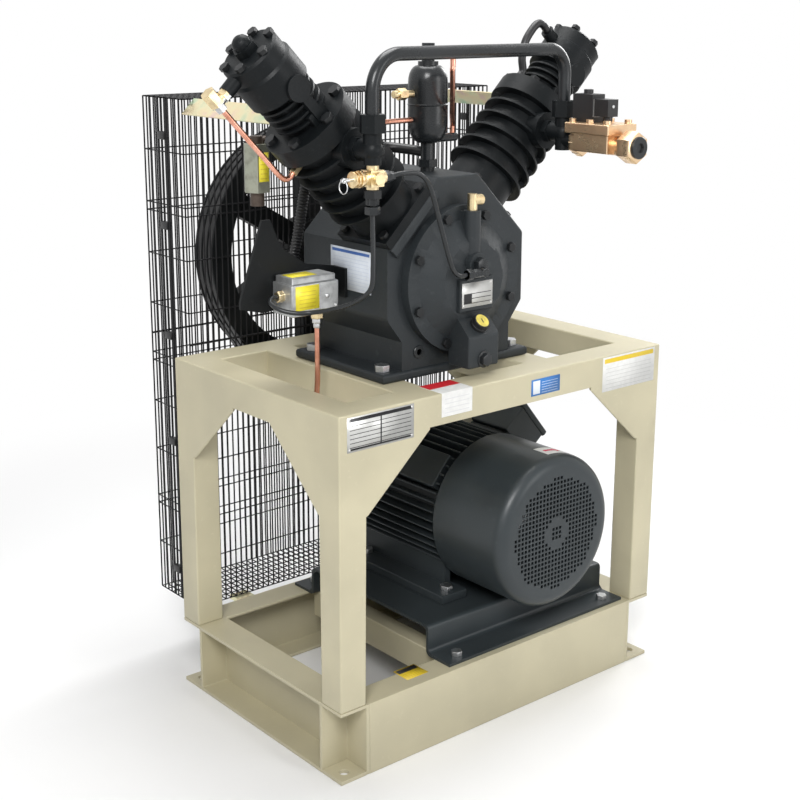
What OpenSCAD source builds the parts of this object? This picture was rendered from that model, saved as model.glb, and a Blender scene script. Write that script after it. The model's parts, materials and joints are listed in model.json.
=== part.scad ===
// Two-cylinder V piston compressor on a steel table frame, with motor and belt guard.
// X runs along the front, Y to the back, Z up. The origin is the middle of the base on the floor.

/* [Base] */
// Length of the base along the front
base_l = 826; // [700:1:1000]
// Depth of the base from front to back
base_w = 527; // [480:1:640]
// Height of the base channels
base_h = 140; // [100:1:180]
// Width of the channel flanges
flange_w = 58; // [50:1:70]
// Thickness of the base steel
steel_t = 7; // [4:0.5:9]
// Radius of an anchor hole
anchor_r = 9; // [6:0.5:12]
// Distance of an anchor hole from the two outer edges
anchor_inset = 25; // [20:1:30]
// Width of the rails under the motor plate
inner_rail_w = 40; // [30:1:60]

/* [Table] */
// Height of the table top
table_z = 688; // [620:1:800]
// Height of the table rails
rail_h = 57; // [40:1:70]
// Width of the table rails
rail_w = 66; // [58:1:80]
// Width of a square leg
leg_w = 58; // [50:1:58]
// Wall of the legs and rails
tube_t = 4; // [2:0.5:6]
// Length of a corner gusset along the rail
gusset_l = 145; // [100:1:180]
// Height of a corner gusset
gusset_h = 133; // [100:1:180]
// Thickness of a corner gusset
gusset_t = 6; // [4:0.5:8]

/* [Motor] */
// Place of the motor along the front
motor_x = 100; // [60:1:120]
// Height of the shaft above the motor feet
shaft_h = 160; // [160:1:180]
// Length of the motor base plate
plate_l = 487; // [440:1:520]
// Depth of the motor base plate
plate_w = 500; // [460:1:520]
// Depth of the raised middle of the plate
plate_top_w = 376; // [340:1:400]
// Height of the raised middle above the base
plate_rise = 62; // [40:1:80]
// Thickness of the motor base plate
plate_t = 6; // [4:0.5:8]
// Place of the front end of the motor frame
motor_front = -97; // [-110:1:-90]
// Length of the motor frame
motor_l = 300; // [280:1:310]
// Outer radius of the motor frame under its fins
core_r = 125; // [120:1:130]
// Inner radius of the motor frame
stator_r = 105; // [95:1:112]
// Inner radius of the stator core
stator_bore = 70; // [60:0.5:80]
// Radius to the tips of the cooling fins
fin_tip_r = 150; // [140:1:151]
// Number of fin places round the frame
fin_count = 48; // [36:1:60]
// Thickness of a motor fin
motor_fin_t = 4; // [3:0.5:5]
// Distance between motor foot bolts, both ways
foot_bolt_d = 254; // [240:1:260]
// Place of the front row of motor foot bolts
foot_bolt_y = -109; // [-112:1:-100]
// Radius of the fan cover
fan_cover_r = 154; // [153:0.5:160]
// Length of the fan cover
fan_cover_l = 190; // [160:1:200]
// Thickness of the fan cover sheet
sheet_t = 2; // [1.5:0.1:2.5]
// Radius of the motor shaft
shaft_r = 21; // [18:0.5:24]
// Radius of the motor bearings
motor_bearing_r = 45; // [40:1:50]
// Width of the motor bearings
motor_bearing_w = 23; // [18:1:26]
// Radius of the motor pulley
pulley_r = 105; // [90:1:125]
// Radius of the cooling fan
fan_r = 128; // [100:1:140]

/* [Drive] */
// Radius of the flywheel
flywheel_r = 258; // [240:1:270]
// Front face of the flywheel and pulley
drive_y = 290; // [288:1:300]
// Width of the flywheel and pulley rims
drive_w = 64; // [58:1:80]
// Number of belts
belt_count = 3; // [1:1:3]
// Distance between belts
belt_pitch = 19; // [16:0.5:22]
// Width of a belt
belt_w = 12; // [10:0.5:13]
// Thickness of a belt
belt_t = 10; // [8:0.5:11]
// Number of flywheel arms
arm_count = 6; // [4:1:8]

/* [Crankcase] */
// Place of the crank axis along the front
crank_x = -45; // [-60:1:-30]
// Height of the crank axis above the table
crank_h = 177; // [172:1:190]
// Half width of the crankcase
case_half = 170; // [165:1:180]
// Front face of the crankcase
case_front = -150; // [-155:1:-145]
// Length of the crankcase
case_l = 255; // [250:1:270]
// Height of the crankcase top above the crank axis
case_top = 190; // [185:1:195]
// Half width of the flat crankcase top
case_top_half = 50; // [46:1:55]
// Radius of the crank chamber
chamber_r = 115; // [105:1:120]
// Distance of the pump foot bolts from the crank axis
pump_bolt_dx = 162; // [158:1:168]
// Place of the front pump foot bolts
pump_bolt_y = -125; // [-130:1:-120]
// Distance between the pump foot bolts, front to back
pump_bolt_dy = 210; // [190:1:220]
// Thickness of the pump feet
pump_foot_t = 18; // [14:1:22]
// Radius of the front cover
cover_r = 138; // [135:1:142]
// Thickness of the front cover rim
cover_t = 20; // [15:1:25]
// Depth of the dome on the front cover
dome_h = 25; // [15:1:30]
// Radius of the bolt circle on the front cover
cover_bolt_r = 124; // [122:0.5:126]
// Length of the rear bearing housing
housing_l = 125; // [110:1:135]
// Radius of the rear crank journal
journal_r = 30; // [26:0.5:32]
// Radius of the front crank journal
front_journal_r = 25; // [20:0.5:28]
// Radius of the main bearings
main_bearing_r = 55; // [50:1:60]
// Width of the main bearings
main_bearing_w = 25; // [20:1:28]
// Throw of the crank
throw = 30; // [25:0.5:32]
// Radius of the crankpin
pin_r = 24; // [20:0.5:26]

/* [Cylinders] */
// Lean of each cylinder from upright
bank_angle = 45; // [45]
// Place of the left cylinder
left_y = -90; // [-94:1:-88]
// Place of the right cylinder
right_y = -40; // [-44:1:-38]
// Bore radius of a lower cylinder
bore_r = 54; // [52:0.5:56]
// Wall radius of a lower cylinder
barrel_r = 64; // [61:0.5:66]
// Tip radius of the lower fins
lower_fin_r = 80; // [74:1:84]
// Number of fins on a lower cylinder
lower_fins = 5; // [3:1:5]
// Distance between lower fins
lower_fin_pitch = 32; // [28:1:34]
// Thickness of a cylinder fin
cyl_fin_t = 5; // [4:0.5:8]
// Distance of the first fin from the crank axis
first_fin = 238; // [232:1:240]
// Distance of the joint between lower and upper cylinder from the crank axis
joint_t = 412; // [408:1:420]
// Radius of the joint flanges
joint_r = 82; // [80:1:86]
// Thickness of the lower joint flange
joint_low_h = 17; // [12:1:20]
// Thickness of the upper joint flange
joint_up_h = 20; // [14:1:22]
// Bore radius of an upper cylinder
upper_bore = 34; // [32:0.5:36]
// Wall radius of an upper cylinder
upper_r = 42; // [40:0.5:44]
// Tip radius of the upper fins
upper_fin_r = 52; // [48:1:56]
// Number of fins on an upper cylinder
upper_fins = 4; // [2:1:4]
// Distance between upper fins
upper_fin_pitch = 15; // [14:0.5:16]
// Thickness of an upper fin
upper_fin_t = 4; // [3:0.5:7]
// Length of an upper cylinder above the joint
upper_l = 123; // [120:1:130]
// Radius of the flange under the head
head_r = 58; // [56:1:62]
// Height of a cylinder head
head_h = 55; // [45:1:60]
// Distance of the port bosses from the crank axis
boss_t = 362; // [360:1:364]
// Reach of a port boss in front of the cylinder axis
boss_reach = 85; // [84:1:90]
// Radius of a port boss
boss_r = 35; // [34:0.5:37]
// Length of a connecting rod between its eyes
rod_l = 235; // [225:1:238]
// Width of a connecting rod
rod_w = 44; // [36:1:46]
// Distance of the resting piston from the crank axis
piston_rest = 290; // [288:1:294]
// Piston travel
stroke = 60; // [50:1:60]

/* [Pipework] */
// Radius of the crossover pipe
pipe_r = 12; // [10:0.5:14]
// Height of the crossover pipe above the port bosses
pipe_rise = 157; // [140:1:170]
// Bend radius of the crossover pipe at its left end
left_bend = 62; // [50:1:70]
// Bend radius of the crossover pipe at its right end
right_bend = 48; // [40:1:60]
// Reach of the elbows in front of the port bosses
elbow_reach = 40; // [36:1:44]
// Radius of the pulsation bottle
bottle_r = 37; // [32:1:42]
// Height of the pulsation bottle
bottle_h = 143; // [120:1:160]
// Radius of the copper tubes
copper_r = 4; // [3:0.5:5]
// Radius of the steel control pipes
control_r = 5; // [4:0.5:6]
// Radius over the ribs of the breather hose
hose_r = 11; // [9:0.5:12]

/* [Guard] */
// Left edge of the guard
guard_left = -369; // [-380:1:-340]
// Length of the guard
guard_l = 800; // [780:1:830]
// Front face of the guard
guard_y = 278; // [272:1:279]
// Depth of the guard
guard_w = 150; // [140:1:170]
// Top of the guard
guard_top = 1184; // [1150:1:1220]
// Thickness of a guard wire
wire_t = 3; // [2:0.5:4]
// Number of wire gaps along the guard
guard_cols = 24; // [16:1:33]
// Number of wire gaps up the guard
guard_rows = 7; // [6:1:9]
// Number of wire gaps across the guard
guard_deep = 6; // [4:1:8]

/* [Hidden] */
$fn = 64;
fit = 0.05;
clear = 0.3;
eps = 1;
root2 = sqrt(2);

half_l = base_l / 2;
half_w = base_w / 2;
web_x = half_l - flange_w;
web_y = half_w - flange_w;
rail_z = table_z - rail_h;

plate_top = base_h + plate_rise;
plate_bolt_x = plate_l / 2 - 38;
plate_bolt_y = (web_y + plate_w / 2) / 2;
plate_bolt_r = 6;
motor_z = plate_top + shaft_h;
motor_rear = motor_front + motor_l;
motor_foot_h = 18;
motor_bolt_r = 7;
shield_t = 12;
stator_l = 200;
stator_y = motor_front + (motor_l - stator_l) / 2;
fan_cover_y = motor_front - fan_cover_l;
fan_y = motor_front - 88;
fan_l = 50;
shaft_end = drive_y + drive_w + 9;
box_l = 110;
box_w = 96;
box_z = fin_tip_r + 4;
box_h = 62;

crank_z = table_z + crank_h;
case_rear = case_front + case_l;
case_shoulder = case_top - (case_half - case_top_half);
case_low_half = case_half - 35;
case_waist = 60;
pad_t = (case_half + case_shoulder) / root2;
pump_foot_half = pump_bolt_dx + 21;
pump_bolt_r = 8;
cover_front = case_front - cover_t;
dome_y = cover_front - dome_h;
housing_rear = case_rear + housing_l;
pin_front = left_y - rod_w / 2 - 2;
pin_rear = right_y + rod_w / 2 + 2;
crank_web_t = 16;
groove_depth = belt_t + clear + 1.7;
belt_flywheel_r = flywheel_r - groove_depth + clear;
belt_pulley_r = pulley_r - groove_depth + clear;
upper_top = joint_t + upper_l;
head_top = upper_top + head_h;
boss_x = boss_t / root2;
boss_z = crank_z + boss_t / root2;
elbow_left_y = left_y - boss_reach - elbow_reach;
elbow_right_y = right_y - boss_reach - elbow_reach;
guard_right = guard_left + guard_l;
guard_rear = guard_y + guard_w;

frame_col = [0.86, 0.83, 0.72];
pump_col = [0.24, 0.26, 0.27];
motor_col = [0.29, 0.31, 0.33];
steel_col = [0.72, 0.73, 0.74];
brass_col = [0.78, 0.62, 0.28];
copper_col = [0.72, 0.42, 0.26];
zinc_col = [0.78, 0.70, 0.36];
black_col = [0.10, 0.10, 0.10];
alu_col = [0.78, 0.78, 0.78];
yellow_col = [0.93, 0.75, 0.12];

// A box between two opposite corners
module span(low, high) {
    translate(low) cube(high - low);
}

// A round bar along Y, from y0 to y1
module bar_y(x, z, y0, y1, r, sides = 64) {
    translate([x, y0, z]) rotate([-90, 0, 0]) cylinder(h = y1 - y0, r = r, $fn = sides);
}

// A round bar along X, from x0 to x1
module bar_x(y, z, x0, x1, r, sides = 64) {
    translate([x0, y, z]) rotate([0, 90, 0]) cylinder(h = x1 - x0, r = r, $fn = sides);
}

// A hexagon bar standing on Z, measured across its flats
module hex(h, flats) {
    cylinder(h = h, r = flats / 2 / cos(30), $fn = 6);
}

// A flat shape in X and Z, pushed from y0 to y1
module slab_y(y0, y1) {
    translate([0, y1, 0]) rotate([90, 0, 0]) linear_extrude(y1 - y0) children();
}

// A flat shape in Y and Z, pushed from x0 to x1
module slab_x(x0, x1) {
    translate([x0, 0, 0]) rotate([90, 0, 90]) linear_extrude(x1 - x0) children();
}

// A turned shape about the Y axis through x and z; its profile is [radius, y]
module turned_y(x, z) {
    translate([x, 0, z]) rotate([-90, 0, 0]) rotate_extrude() children();
}

// The four corners of the base
module corners(dx, dy) {
    for (sx = [-1, 1]) for (sy = [-1, 1])
        translate([sx * dx, sy * dy, 0]) children();
}

// A square tube along Z, closed by nothing at its ends
module tube_z(w, h) {
    difference() {
        translate([-w / 2, -w / 2, 0]) cube([w, w, h]);
        translate([tube_t - w / 2, tube_t - w / 2, -eps])
            cube([w - 2 * tube_t, w - 2 * tube_t, h + 2 * eps]);
    }
}

// A hollow box between two corners, with the tube wall left on the axes named in wall
module hollow(low, high, wall) {
    difference() {
        span(low, high);
        span(low + tube_t * wall - eps * ([1, 1, 1] - wall),
            high - tube_t * wall + eps * ([1, 1, 1] - wall));
    }
}

module foot_plates() color(frame_col)
    for (sx = [-1, 1]) for (sy = [-1, 1])
        translate([sx * (half_l - flange_w / 2), sy * (half_w - flange_w / 2), 0])
            difference() {
                translate([-flange_w / 2, -flange_w / 2, 0]) cube([flange_w, flange_w, steel_t]);
                translate([sx, sy, 0] * (flange_w / 2 - anchor_inset) - [0, 0, eps])
                    cylinder(h = steel_t + 2 * eps, r = anchor_r);
            }

module base_beams() color(frame_col) {
    inner = web_x - steel_t;
    for (sy = [-1, 1]) mirror([0, sy < 0 ? 1 : 0, 0]) {
        span([-inner, half_w - steel_t, 0], [inner, half_w, base_h]);
        span([-inner, web_y, base_h - steel_t], [inner, half_w, base_h]);
        span([-inner, web_y, 0], [inner, half_w, steel_t]);
    }
    for (sx = [-1, 1]) translate([motor_x + sx * plate_bolt_x, 0, 0])
        span([-inner_rail_w / 2, -web_y, base_h - flange_w], [inner_rail_w / 2, web_y, base_h]);
}

module base_channels() color(frame_col)
    for (sx = [-1, 1]) mirror([sx < 0 ? 1 : 0, 0, 0]) {
        span([web_x - steel_t, -half_w, 0], [web_x, half_w, base_h]);
        span([web_x - steel_t, -half_w, base_h - steel_t], [half_l, half_w, base_h]);
        span([web_x - steel_t, -web_y, 0], [half_l, web_y, steel_t]);
        for (sy = [-1, 1]) mirror([0, sy < 0 ? 1 : 0, 0])
            span([web_x - steel_t, web_y - steel_t, 0], [half_l, web_y, base_h]);
    }

module legs() color(frame_col)
    corners(half_l - leg_w / 2, half_w - leg_w / 2)
        translate([0, 0, base_h]) tube_z(leg_w, rail_z - base_h);

module table_long_rails() color(frame_col)
    for (y = [-half_w, half_w - rail_w])
        hollow([-half_l, y, rail_z], [half_l, y + rail_w, table_z], [1, 1, 1]);

module table_end_rails() color(frame_col)
    for (x = [-half_l, half_l - rail_w])
        hollow([x, rail_w - half_w, rail_z], [x + rail_w, half_w - rail_w, table_z], [1, 0, 1]);

module table_cross_rails() color(frame_col)
    for (sx = [-1, 1]) translate([crank_x + sx * pump_bolt_dx, 0, 0]) difference() {
        hollow([-rail_w / 2, rail_w - half_w, rail_z], [rail_w / 2, half_w - rail_w, table_z], [1, 0, 1]);
        for (y = [pump_bolt_y, pump_bolt_y + pump_bolt_dy])
            translate([0, y, table_z - 2 * tube_t]) cylinder(h = 3 * tube_t, r = pump_bolt_r + eps);
    }

// A gusset in the corner between a leg and a rail, with the corner at its origin
module gusset_shape() {
    polygon([[0, 0], [-gusset_l, 0], [-gusset_l, -gusset_t], [-gusset_t, -gusset_h], [0, -gusset_h]]);
}

module gusset_plates() color(frame_col)
    for (sx = [0, 1]) for (sy = [0, 1]) mirror([sx, 0, 0]) mirror([0, sy, 0]) {
        slab_y(half_w - gusset_t, half_w) translate([half_l - leg_w, rail_z]) gusset_shape();
        slab_x(half_l - gusset_t, half_l) translate([half_w - leg_w, rail_z]) gusset_shape();
    }

// The cross-section of the hat-shaped motor plate, standing on its flanges
module hat_shape() {
    out = plate_w / 2;
    top = plate_top_w / 2;
    polygon([[-out, 0], [-out, plate_t], [-top, plate_t], [-top, plate_rise], [top, plate_rise],
        [top, plate_t], [out, plate_t], [out, 0], [top - plate_t, 0],
        [top - plate_t, plate_rise - plate_t], [plate_t - top, plate_rise - plate_t], [plate_t - top, 0]]);
}

// The places of the motor foot bolts
module at_motor_bolts() {
    for (sx = [-1, 1]) for (y = [foot_bolt_y, foot_bolt_y + foot_bolt_d])
        translate([motor_x + sx * foot_bolt_d / 2, y, plate_top]) children();
}

// The places of the bolts that hold the motor plate to the base
module at_plate_bolts() {
    for (sx = [-1, 1]) for (sy = [-1, 1])
        translate([motor_x + sx * plate_bolt_x, sy * plate_bolt_y, base_h]) children();
}

module motor_base_plate() color(motor_col) difference() {
    slab_x(motor_x - plate_l / 2, motor_x + plate_l / 2) translate([0, base_h]) hat_shape();
    at_motor_bolts() translate([0, 0, -plate_t - eps])
        cylinder(h = plate_t + 2 * eps, r = motor_bolt_r + eps);
    at_plate_bolts() translate([0, 0, -eps]) cylinder(h = plate_t + 2 * eps, r = plate_bolt_r + eps);
}

// A block on the motor frame, turned away from upright by the angle lean
module frame_pad(lean, half, y0, y1, top) {
    translate([motor_x, 0, motor_z]) rotate([0, lean, 0])
        span([-half, y0, stator_r + 5], [half, y1, top]);
}

box_lean = 50;
plate_lean = -50;
foot_arc = 42;
foot_in = 95;
foot_out = 160;
foot_front = foot_bolt_y - 25;
foot_rear = foot_bolt_y + foot_bolt_d + 25;
foot_web_w = 16;

module motor_frame() color(motor_col) {
    difference() {
        union() {
            bar_y(motor_x, motor_z, motor_front, motor_rear, core_r);
            for (i = [0 : fin_count - 1]) let (a = 360 / fin_count * i)
                if (abs(a - 180) > foot_arc)
                    translate([motor_x, 0, motor_z]) rotate([0, a, 0])
                        span([-motor_fin_t / 2, motor_front + 8, core_r - 3],
                            [motor_fin_t / 2, motor_rear - 8, fin_tip_r]);
            frame_pad(box_lean, box_w / 2 - 8, box_y, box_y + box_l, box_z);
            frame_pad(plate_lean, 36, motor_front + 20, motor_front + 150, fin_tip_r + 2);
            for (sx = [0, 1]) translate([motor_x, 0, 0]) mirror([sx, 0, 0])
                span([foot_in, motor_front + 12, plate_top],
                    [foot_in + foot_web_w, motor_rear - 12, motor_z - 50]);
        }
        bar_y(motor_x, motor_z, motor_front - eps, motor_rear + eps, stator_r);
    }
    for (sx = [0, 1]) translate([motor_x, 0, 0]) mirror([sx, 0, 0]) difference() {
        span([foot_in, foot_front, plate_top], [foot_out, foot_rear, plate_top + motor_foot_h]);
        for (y = [foot_bolt_y, foot_bolt_y + foot_bolt_d])
            translate([foot_bolt_d / 2, y, plate_top - eps])
                cylinder(h = motor_foot_h + 2 * eps, r = motor_bolt_r + eps);
    }
}
box_y = motor_front + 45;

// An end shield with its bearing seat; the frame end is at 0 and outwards is positive
module endshield_profile(rim) {
    seat = motor_bearing_r + fit;
    polygon([[motor_bearing_r + 10, -20], [motor_bearing_r + 10, 0], [rim, 0], [rim, shield_t],
        [shaft_r + 2, shield_t], [shaft_r + 2, 4], [seat, 4], [seat, -20]]);
}

shield_r = fan_cover_r - sheet_t - clear;
rear_shield_r = core_r + 14;

module motor_endshields() color(motor_col) {
    turned_y(motor_x, motor_z) translate([0, motor_front]) mirror([0, 1]) endshield_profile(shield_r);
    turned_y(motor_x, motor_z) translate([0, motor_rear]) endshield_profile(rear_shield_r);
}

grille_r = fan_cover_r * 0.8;
grille_pitch = 24;
grille_gap = 18;
grille_n = floor(grille_r / grille_pitch);
grille_hub = 30;

module fan_cover() color(motor_col) {
    turned_y(motor_x, motor_z)
        polygon([[grille_r, fan_cover_y], [fan_cover_r - 14, fan_cover_y], [fan_cover_r, fan_cover_y + 14],
            [fan_cover_r, motor_front], [fan_cover_r - sheet_t, motor_front],
            [fan_cover_r - sheet_t, fan_cover_y + 14 + sheet_t],
            [fan_cover_r - 14 - sheet_t, fan_cover_y + sheet_t], [grille_r, fan_cover_y + sheet_t]]);
    slab_y(fan_cover_y, fan_cover_y + sheet_t) translate([motor_x, motor_z]) difference() {
        circle(r = grille_r);
        for (i = [-grille_n : grille_n]) for (j = [-grille_n : grille_n])
            let (p = [i, j] * grille_pitch)
            if (norm(p) + grille_gap < grille_r && norm(p) > grille_hub)
                translate(p) square(grille_gap, center = true);
    }
}

module stator_core() color(copper_col)
    turned_y(motor_x, motor_z) translate([0, stator_y])
        polygon([[stator_bore, 0], [stator_bore, stator_l], [stator_bore + 8, stator_l],
            [stator_bore + 8, stator_l + 26], [stator_r - 8, stator_l + 26], [stator_r - 8, stator_l],
            [stator_r - fit, stator_l], [stator_r - fit, 0], [stator_r - 8, 0], [stator_r - 8, -26],
            [stator_bore + 8, -26], [stator_bore + 8, 0]]);

// A sealed ball bearing along Z, with its shield set back on both sides
module bearing_profile(shaft, rim, w) {
    lip = (rim - shaft) * 0.28;
    sink = 1.5;
    polygon([[shaft, 0], [shaft + lip, 0], [shaft + lip, sink], [rim - lip, sink], [rim - lip, 0],
        [rim, 0], [rim, w], [rim - lip, w], [rim - lip, w - sink], [shaft + lip, w - sink],
        [shaft + lip, w], [shaft, w]]);
}

main_bearing_y = [case_rear - main_bearing_w, housing_rear - main_bearing_w - 6];

module ball_bearings() color(steel_col) {
    for (y = [motor_front - 4, motor_rear + 4 - motor_bearing_w])
        turned_y(motor_x, motor_z) translate([0, y])
            bearing_profile(shaft_r + fit, motor_bearing_r, motor_bearing_w);
    for (y = main_bearing_y)
        turned_y(crank_x, crank_z) translate([0, y])
            bearing_profile(journal_r + fit, main_bearing_r, main_bearing_w);
}

lid_t = 14;
gland_r = 11;

module terminal_box() color(motor_col)
    translate([motor_x, box_y, motor_z]) rotate([0, box_lean, 0]) {
        difference() {
            span([-box_w / 2, 0, box_z], [box_w / 2, box_l, box_z + box_h]);
            span([4 - box_w / 2, 4, box_z + 4], [box_w / 2 - 4, box_l - 4, box_z + box_h + eps]);
        }
        span([-box_w / 2 - 2, -2, box_z + box_h], [box_w / 2 + 2, box_l + 2, box_z + box_h + lid_t]);
        for (y = [0.3, 0.7]) translate([box_w / 2, box_l * y, box_z + box_h / 2])
            rotate([0, 90, 0]) cylinder(h = 16, r = gland_r);
    }

bolt_head_h = 9;

// A hexagon bolt with its head from 0 upwards and its shank below
module bolt(r, head, shank) {
    hex(head, r * 3.2);
    translate([0, 0, -shank]) cylinder(h = shank + eps / 2, r = r, $fn = 32);
}

module motor_bolts() color(steel_col) {
    at_motor_bolts() translate([0, 0, motor_foot_h])
        bolt(motor_bolt_r, bolt_head_h, motor_foot_h + plate_t);
    at_plate_bolts() translate([0, 0, plate_t]) bolt(plate_bolt_r, bolt_head_h, plate_t);
}

rotor_r = stator_bore - 0.5;

module motor_rotor() color(steel_col) {
    bar_y(motor_x, motor_z, fan_y, shaft_end, shaft_r);
    bar_y(motor_x, motor_z, stator_y, stator_y + stator_l, rotor_r);
}

blade_n = 8;
blade_t = 4;
fan_hub_r = 34;

module cooling_fan() color(black_col) translate([motor_x, 0, motor_z]) difference() {
    union() {
        bar_y(0, 0, fan_y, fan_y + fan_l, fan_hub_r);
        bar_y(0, 0, fan_y + fan_l - blade_t, fan_y + fan_l, fan_r * 0.8);
        for (i = [0 : blade_n - 1]) rotate([0, 360 / blade_n * i, 0])
            span([-blade_t / 2, fan_y, fan_hub_r - 2], [blade_t / 2, fan_y + fan_l, fan_r]);
    }
    bar_y(0, 0, fan_y - eps, fan_y + fan_l + eps, shaft_r + fit);
}

// Belt grooves in a rim of radius r, as profile points from the front face on
function grooves(r) = [for (i = [0 : belt_count - 1])
    let (mid = belt_y(i) - drive_y, low = belt_w / 2 + 0.5, top = low + 1.2)
    each [[r, mid - top], [r - groove_depth, mid - low], [r - groove_depth, mid + low], [r, mid + top]]];
function belt_y(i) = drive_y + drive_w / 2 + (i - (belt_count - 1) / 2) * belt_pitch;

module motor_pulley() color(pump_col)
    turned_y(motor_x, motor_z) translate([0, drive_y])
        polygon(concat([[shaft_r + fit, 0], [pulley_r, 0]], grooves(pulley_r),
            [[pulley_r, drive_w], [shaft_r + fit, drive_w]]));

rim_t = 46;
hub_r = 58;
nose_r = 26;
thread_r = 20;
arm_w = 46;
arm_t = 26;
nut_h = 18;

module flywheel() color(pump_col) {
    rim = flywheel_r - rim_t;
    turned_y(crank_x, crank_z) translate([0, drive_y])
        polygon(concat([[rim, 0], [flywheel_r, 0]], grooves(flywheel_r),
            [[flywheel_r, drive_w], [rim, drive_w]]));
    translate([crank_x, 0, crank_z]) difference() {
        union() {
            bar_y(0, 0, drive_y, drive_y + drive_w, hub_r);
            for (i = [0 : arm_count - 1]) rotate([0, 360 / arm_count * i, 0])
                span([-arm_w / 2, drive_y + (drive_w - arm_t) / 2, hub_r - 10],
                    [arm_w / 2, drive_y + (drive_w + arm_t) / 2, rim + 2]);
        }
        bar_y(0, 0, drive_y - eps, drive_y + drive_w + eps, nose_r + fit);
    }
    difference() {
        translate([crank_x, drive_y + drive_w, crank_z]) rotate([-90, 0, 0]) hex(nut_h, 2 * thread_r + 22);
        bar_y(crank_x, crank_z, drive_y, drive_y + drive_w + nut_h + eps, thread_r + fit);
    }
}

// The outline of the belt run, grown outwards from the groove bottoms
module belt_run(grow) {
    rf = belt_flywheel_r + grow;
    rp = belt_pulley_r + grow;
    axis = [motor_x - crank_x, motor_z - crank_z];
    u = axis / norm(axis);
    v = [-u[1], u[0]];
    c = (rf - rp) / norm(axis);
    s = sqrt(1 - c * c);
    flywheel_at = [crank_x, crank_z];
    pulley_at = [motor_x, motor_z];
    translate(flywheel_at) circle(r = rf, $fn = 96);
    translate(pulley_at) circle(r = rp);
    polygon([flywheel_at + rf * (c * u + s * v), pulley_at + rp * (c * u + s * v),
        pulley_at + rp * (c * u - s * v), flywheel_at + rf * (c * u - s * v)]);
}

module v_belts() color(black_col)
    for (i = [0 : belt_count - 1])
        slab_y(belt_y(i) - belt_w / 2, belt_y(i) + belt_w / 2) difference() {
            belt_run(belt_t);
            belt_run(0);
        }

web_r = 48;
weight_r = 98;
weight_half = 70;

// A crank web with its counterweight, crankpin upwards
module web_shape() {
    circle(r = web_r);
    translate([0, throw]) circle(r = pin_r + 14);
    translate([-web_r, 0]) square([2 * web_r, throw]);
    intersection() {
        circle(r = weight_r);
        translate([-weight_half, -weight_r]) square([2 * weight_half, weight_r]);
    }
}

module crankshaft() color(steel_col) translate([crank_x, 0, crank_z]) {
    bar_y(0, 0, cover_front + 2, pin_front, front_journal_r);
    slab_y(pin_front - crank_web_t, pin_front) web_shape();
    bar_y(0, throw, pin_front - eps, pin_rear + eps, pin_r);
    slab_y(pin_rear, pin_rear + crank_web_t) web_shape();
    bar_y(0, 0, pin_rear + eps, drive_y, journal_r);
    bar_y(0, 0, drive_y - eps, drive_y + drive_w, nose_r);
    bar_y(0, 0, drive_y, drive_y + drive_w + nut_h + 6, thread_r);
}

// The frame of one cylinder: Z runs out along its axis from the crank axis, +X away from the middle
module bank(side, y) {
    translate([crank_x, y, crank_z]) mirror([side < 0 ? 1 : 0, 0, 0]) rotate([0, bank_angle, 0]) children();
}

big_eye_r = pin_r + 13;
small_eye_r = 18;
wrist_r = 9;
shank_half = 13;

module rod(side, y) {
    translate([0, 0, throw]) bank(side, y) difference() {
        union() {
            bar_y(0, 0, -rod_w / 2, rod_w / 2, big_eye_r);
            bar_y(0, rod_l, -rod_w / 2 + 6, rod_w / 2 - 6, small_eye_r);
            span([-shank_half, -rod_w / 4, pin_r + 4], [shank_half, rod_w / 4, rod_l - wrist_r - 3]);
        }
        bar_y(0, 0, -rod_w, rod_w, pin_r + fit);
        bar_y(0, rod_l, -rod_w, rod_w, wrist_r);
    }
}

module left_rod() color(steel_col) rod(-1, left_y);
module right_rod() color(steel_col) rod(1, right_y);

piston_low_h = 55;
piston_up_h = upper_top - piston_rest - stroke - piston_low_h - 7;
ring_h = 4;

// A stepped piston at its lowest place, hollow below for the rod
module piston(side, y) {
    big = bore_r - 2 * fit;
    small = upper_bore - 2 * fit;
    step = piston_low_h;
    top = step + piston_up_h;
    bank(side, y) translate([0, 0, piston_rest]) {
        rotate_extrude() polygon([[0, step - 14], [big - 12, step - 14], [big - 12, 0], [big, 0],
            [big, step - 18], [big - 3, step - 18], [big - 3, step - 18 + ring_h], [big, step - 18 + ring_h],
            [big, step], [small, step], [small, top - 18], [small - 3, top - 18],
            [small - 3, top - 18 + ring_h], [small, top - 18 + ring_h], [small, top], [0, top]]);
        bar_y(0, step / 2 - 8, -(big - 11), big - 11, wrist_r);
    }
}

module left_piston() color(alu_col) piston(-1, left_y);
module right_piston() color(alu_col) piston(1, right_y);

collar_half = 70;
collar_h = 18;
collar_bolt = 56;
case_foot_y0 = case_front - 5;
case_foot_y1 = case_rear + 10;
chamber_rear = case_rear - main_bearing_w - 10;

// The outline of the crankcase seen from the front, about the crank axis
module case_shape() {
    low = crank_h - pump_foot_t + eps;
    for (side = [0, 1]) mirror([side, 0])
        polygon([[0, -low], [case_low_half, -low], [case_low_half, -case_waist - 45],
            [case_half, -case_waist], [case_half, case_shoulder], [case_top_half, case_top], [0, case_top]]);
}

// The places of the pump foot bolts
module at_pump_bolts() {
    for (sx = [-1, 1]) for (y = [pump_bolt_y, pump_bolt_y + pump_bolt_dy])
        translate([crank_x + sx * pump_bolt_dx, y, table_z]) children();
}

// The places of the bolts round the front cover, looking out of the front
module at_cover_bolts() {
    for (i = [0 : 7]) translate([crank_x, cover_front, crank_z]) rotate([90, 0, 0])
        rotate([0, 0, 22.5 + 45 * i]) translate([cover_bolt_r, 0, 0]) children();
}

cover_bolt_rad = 5;

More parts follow.
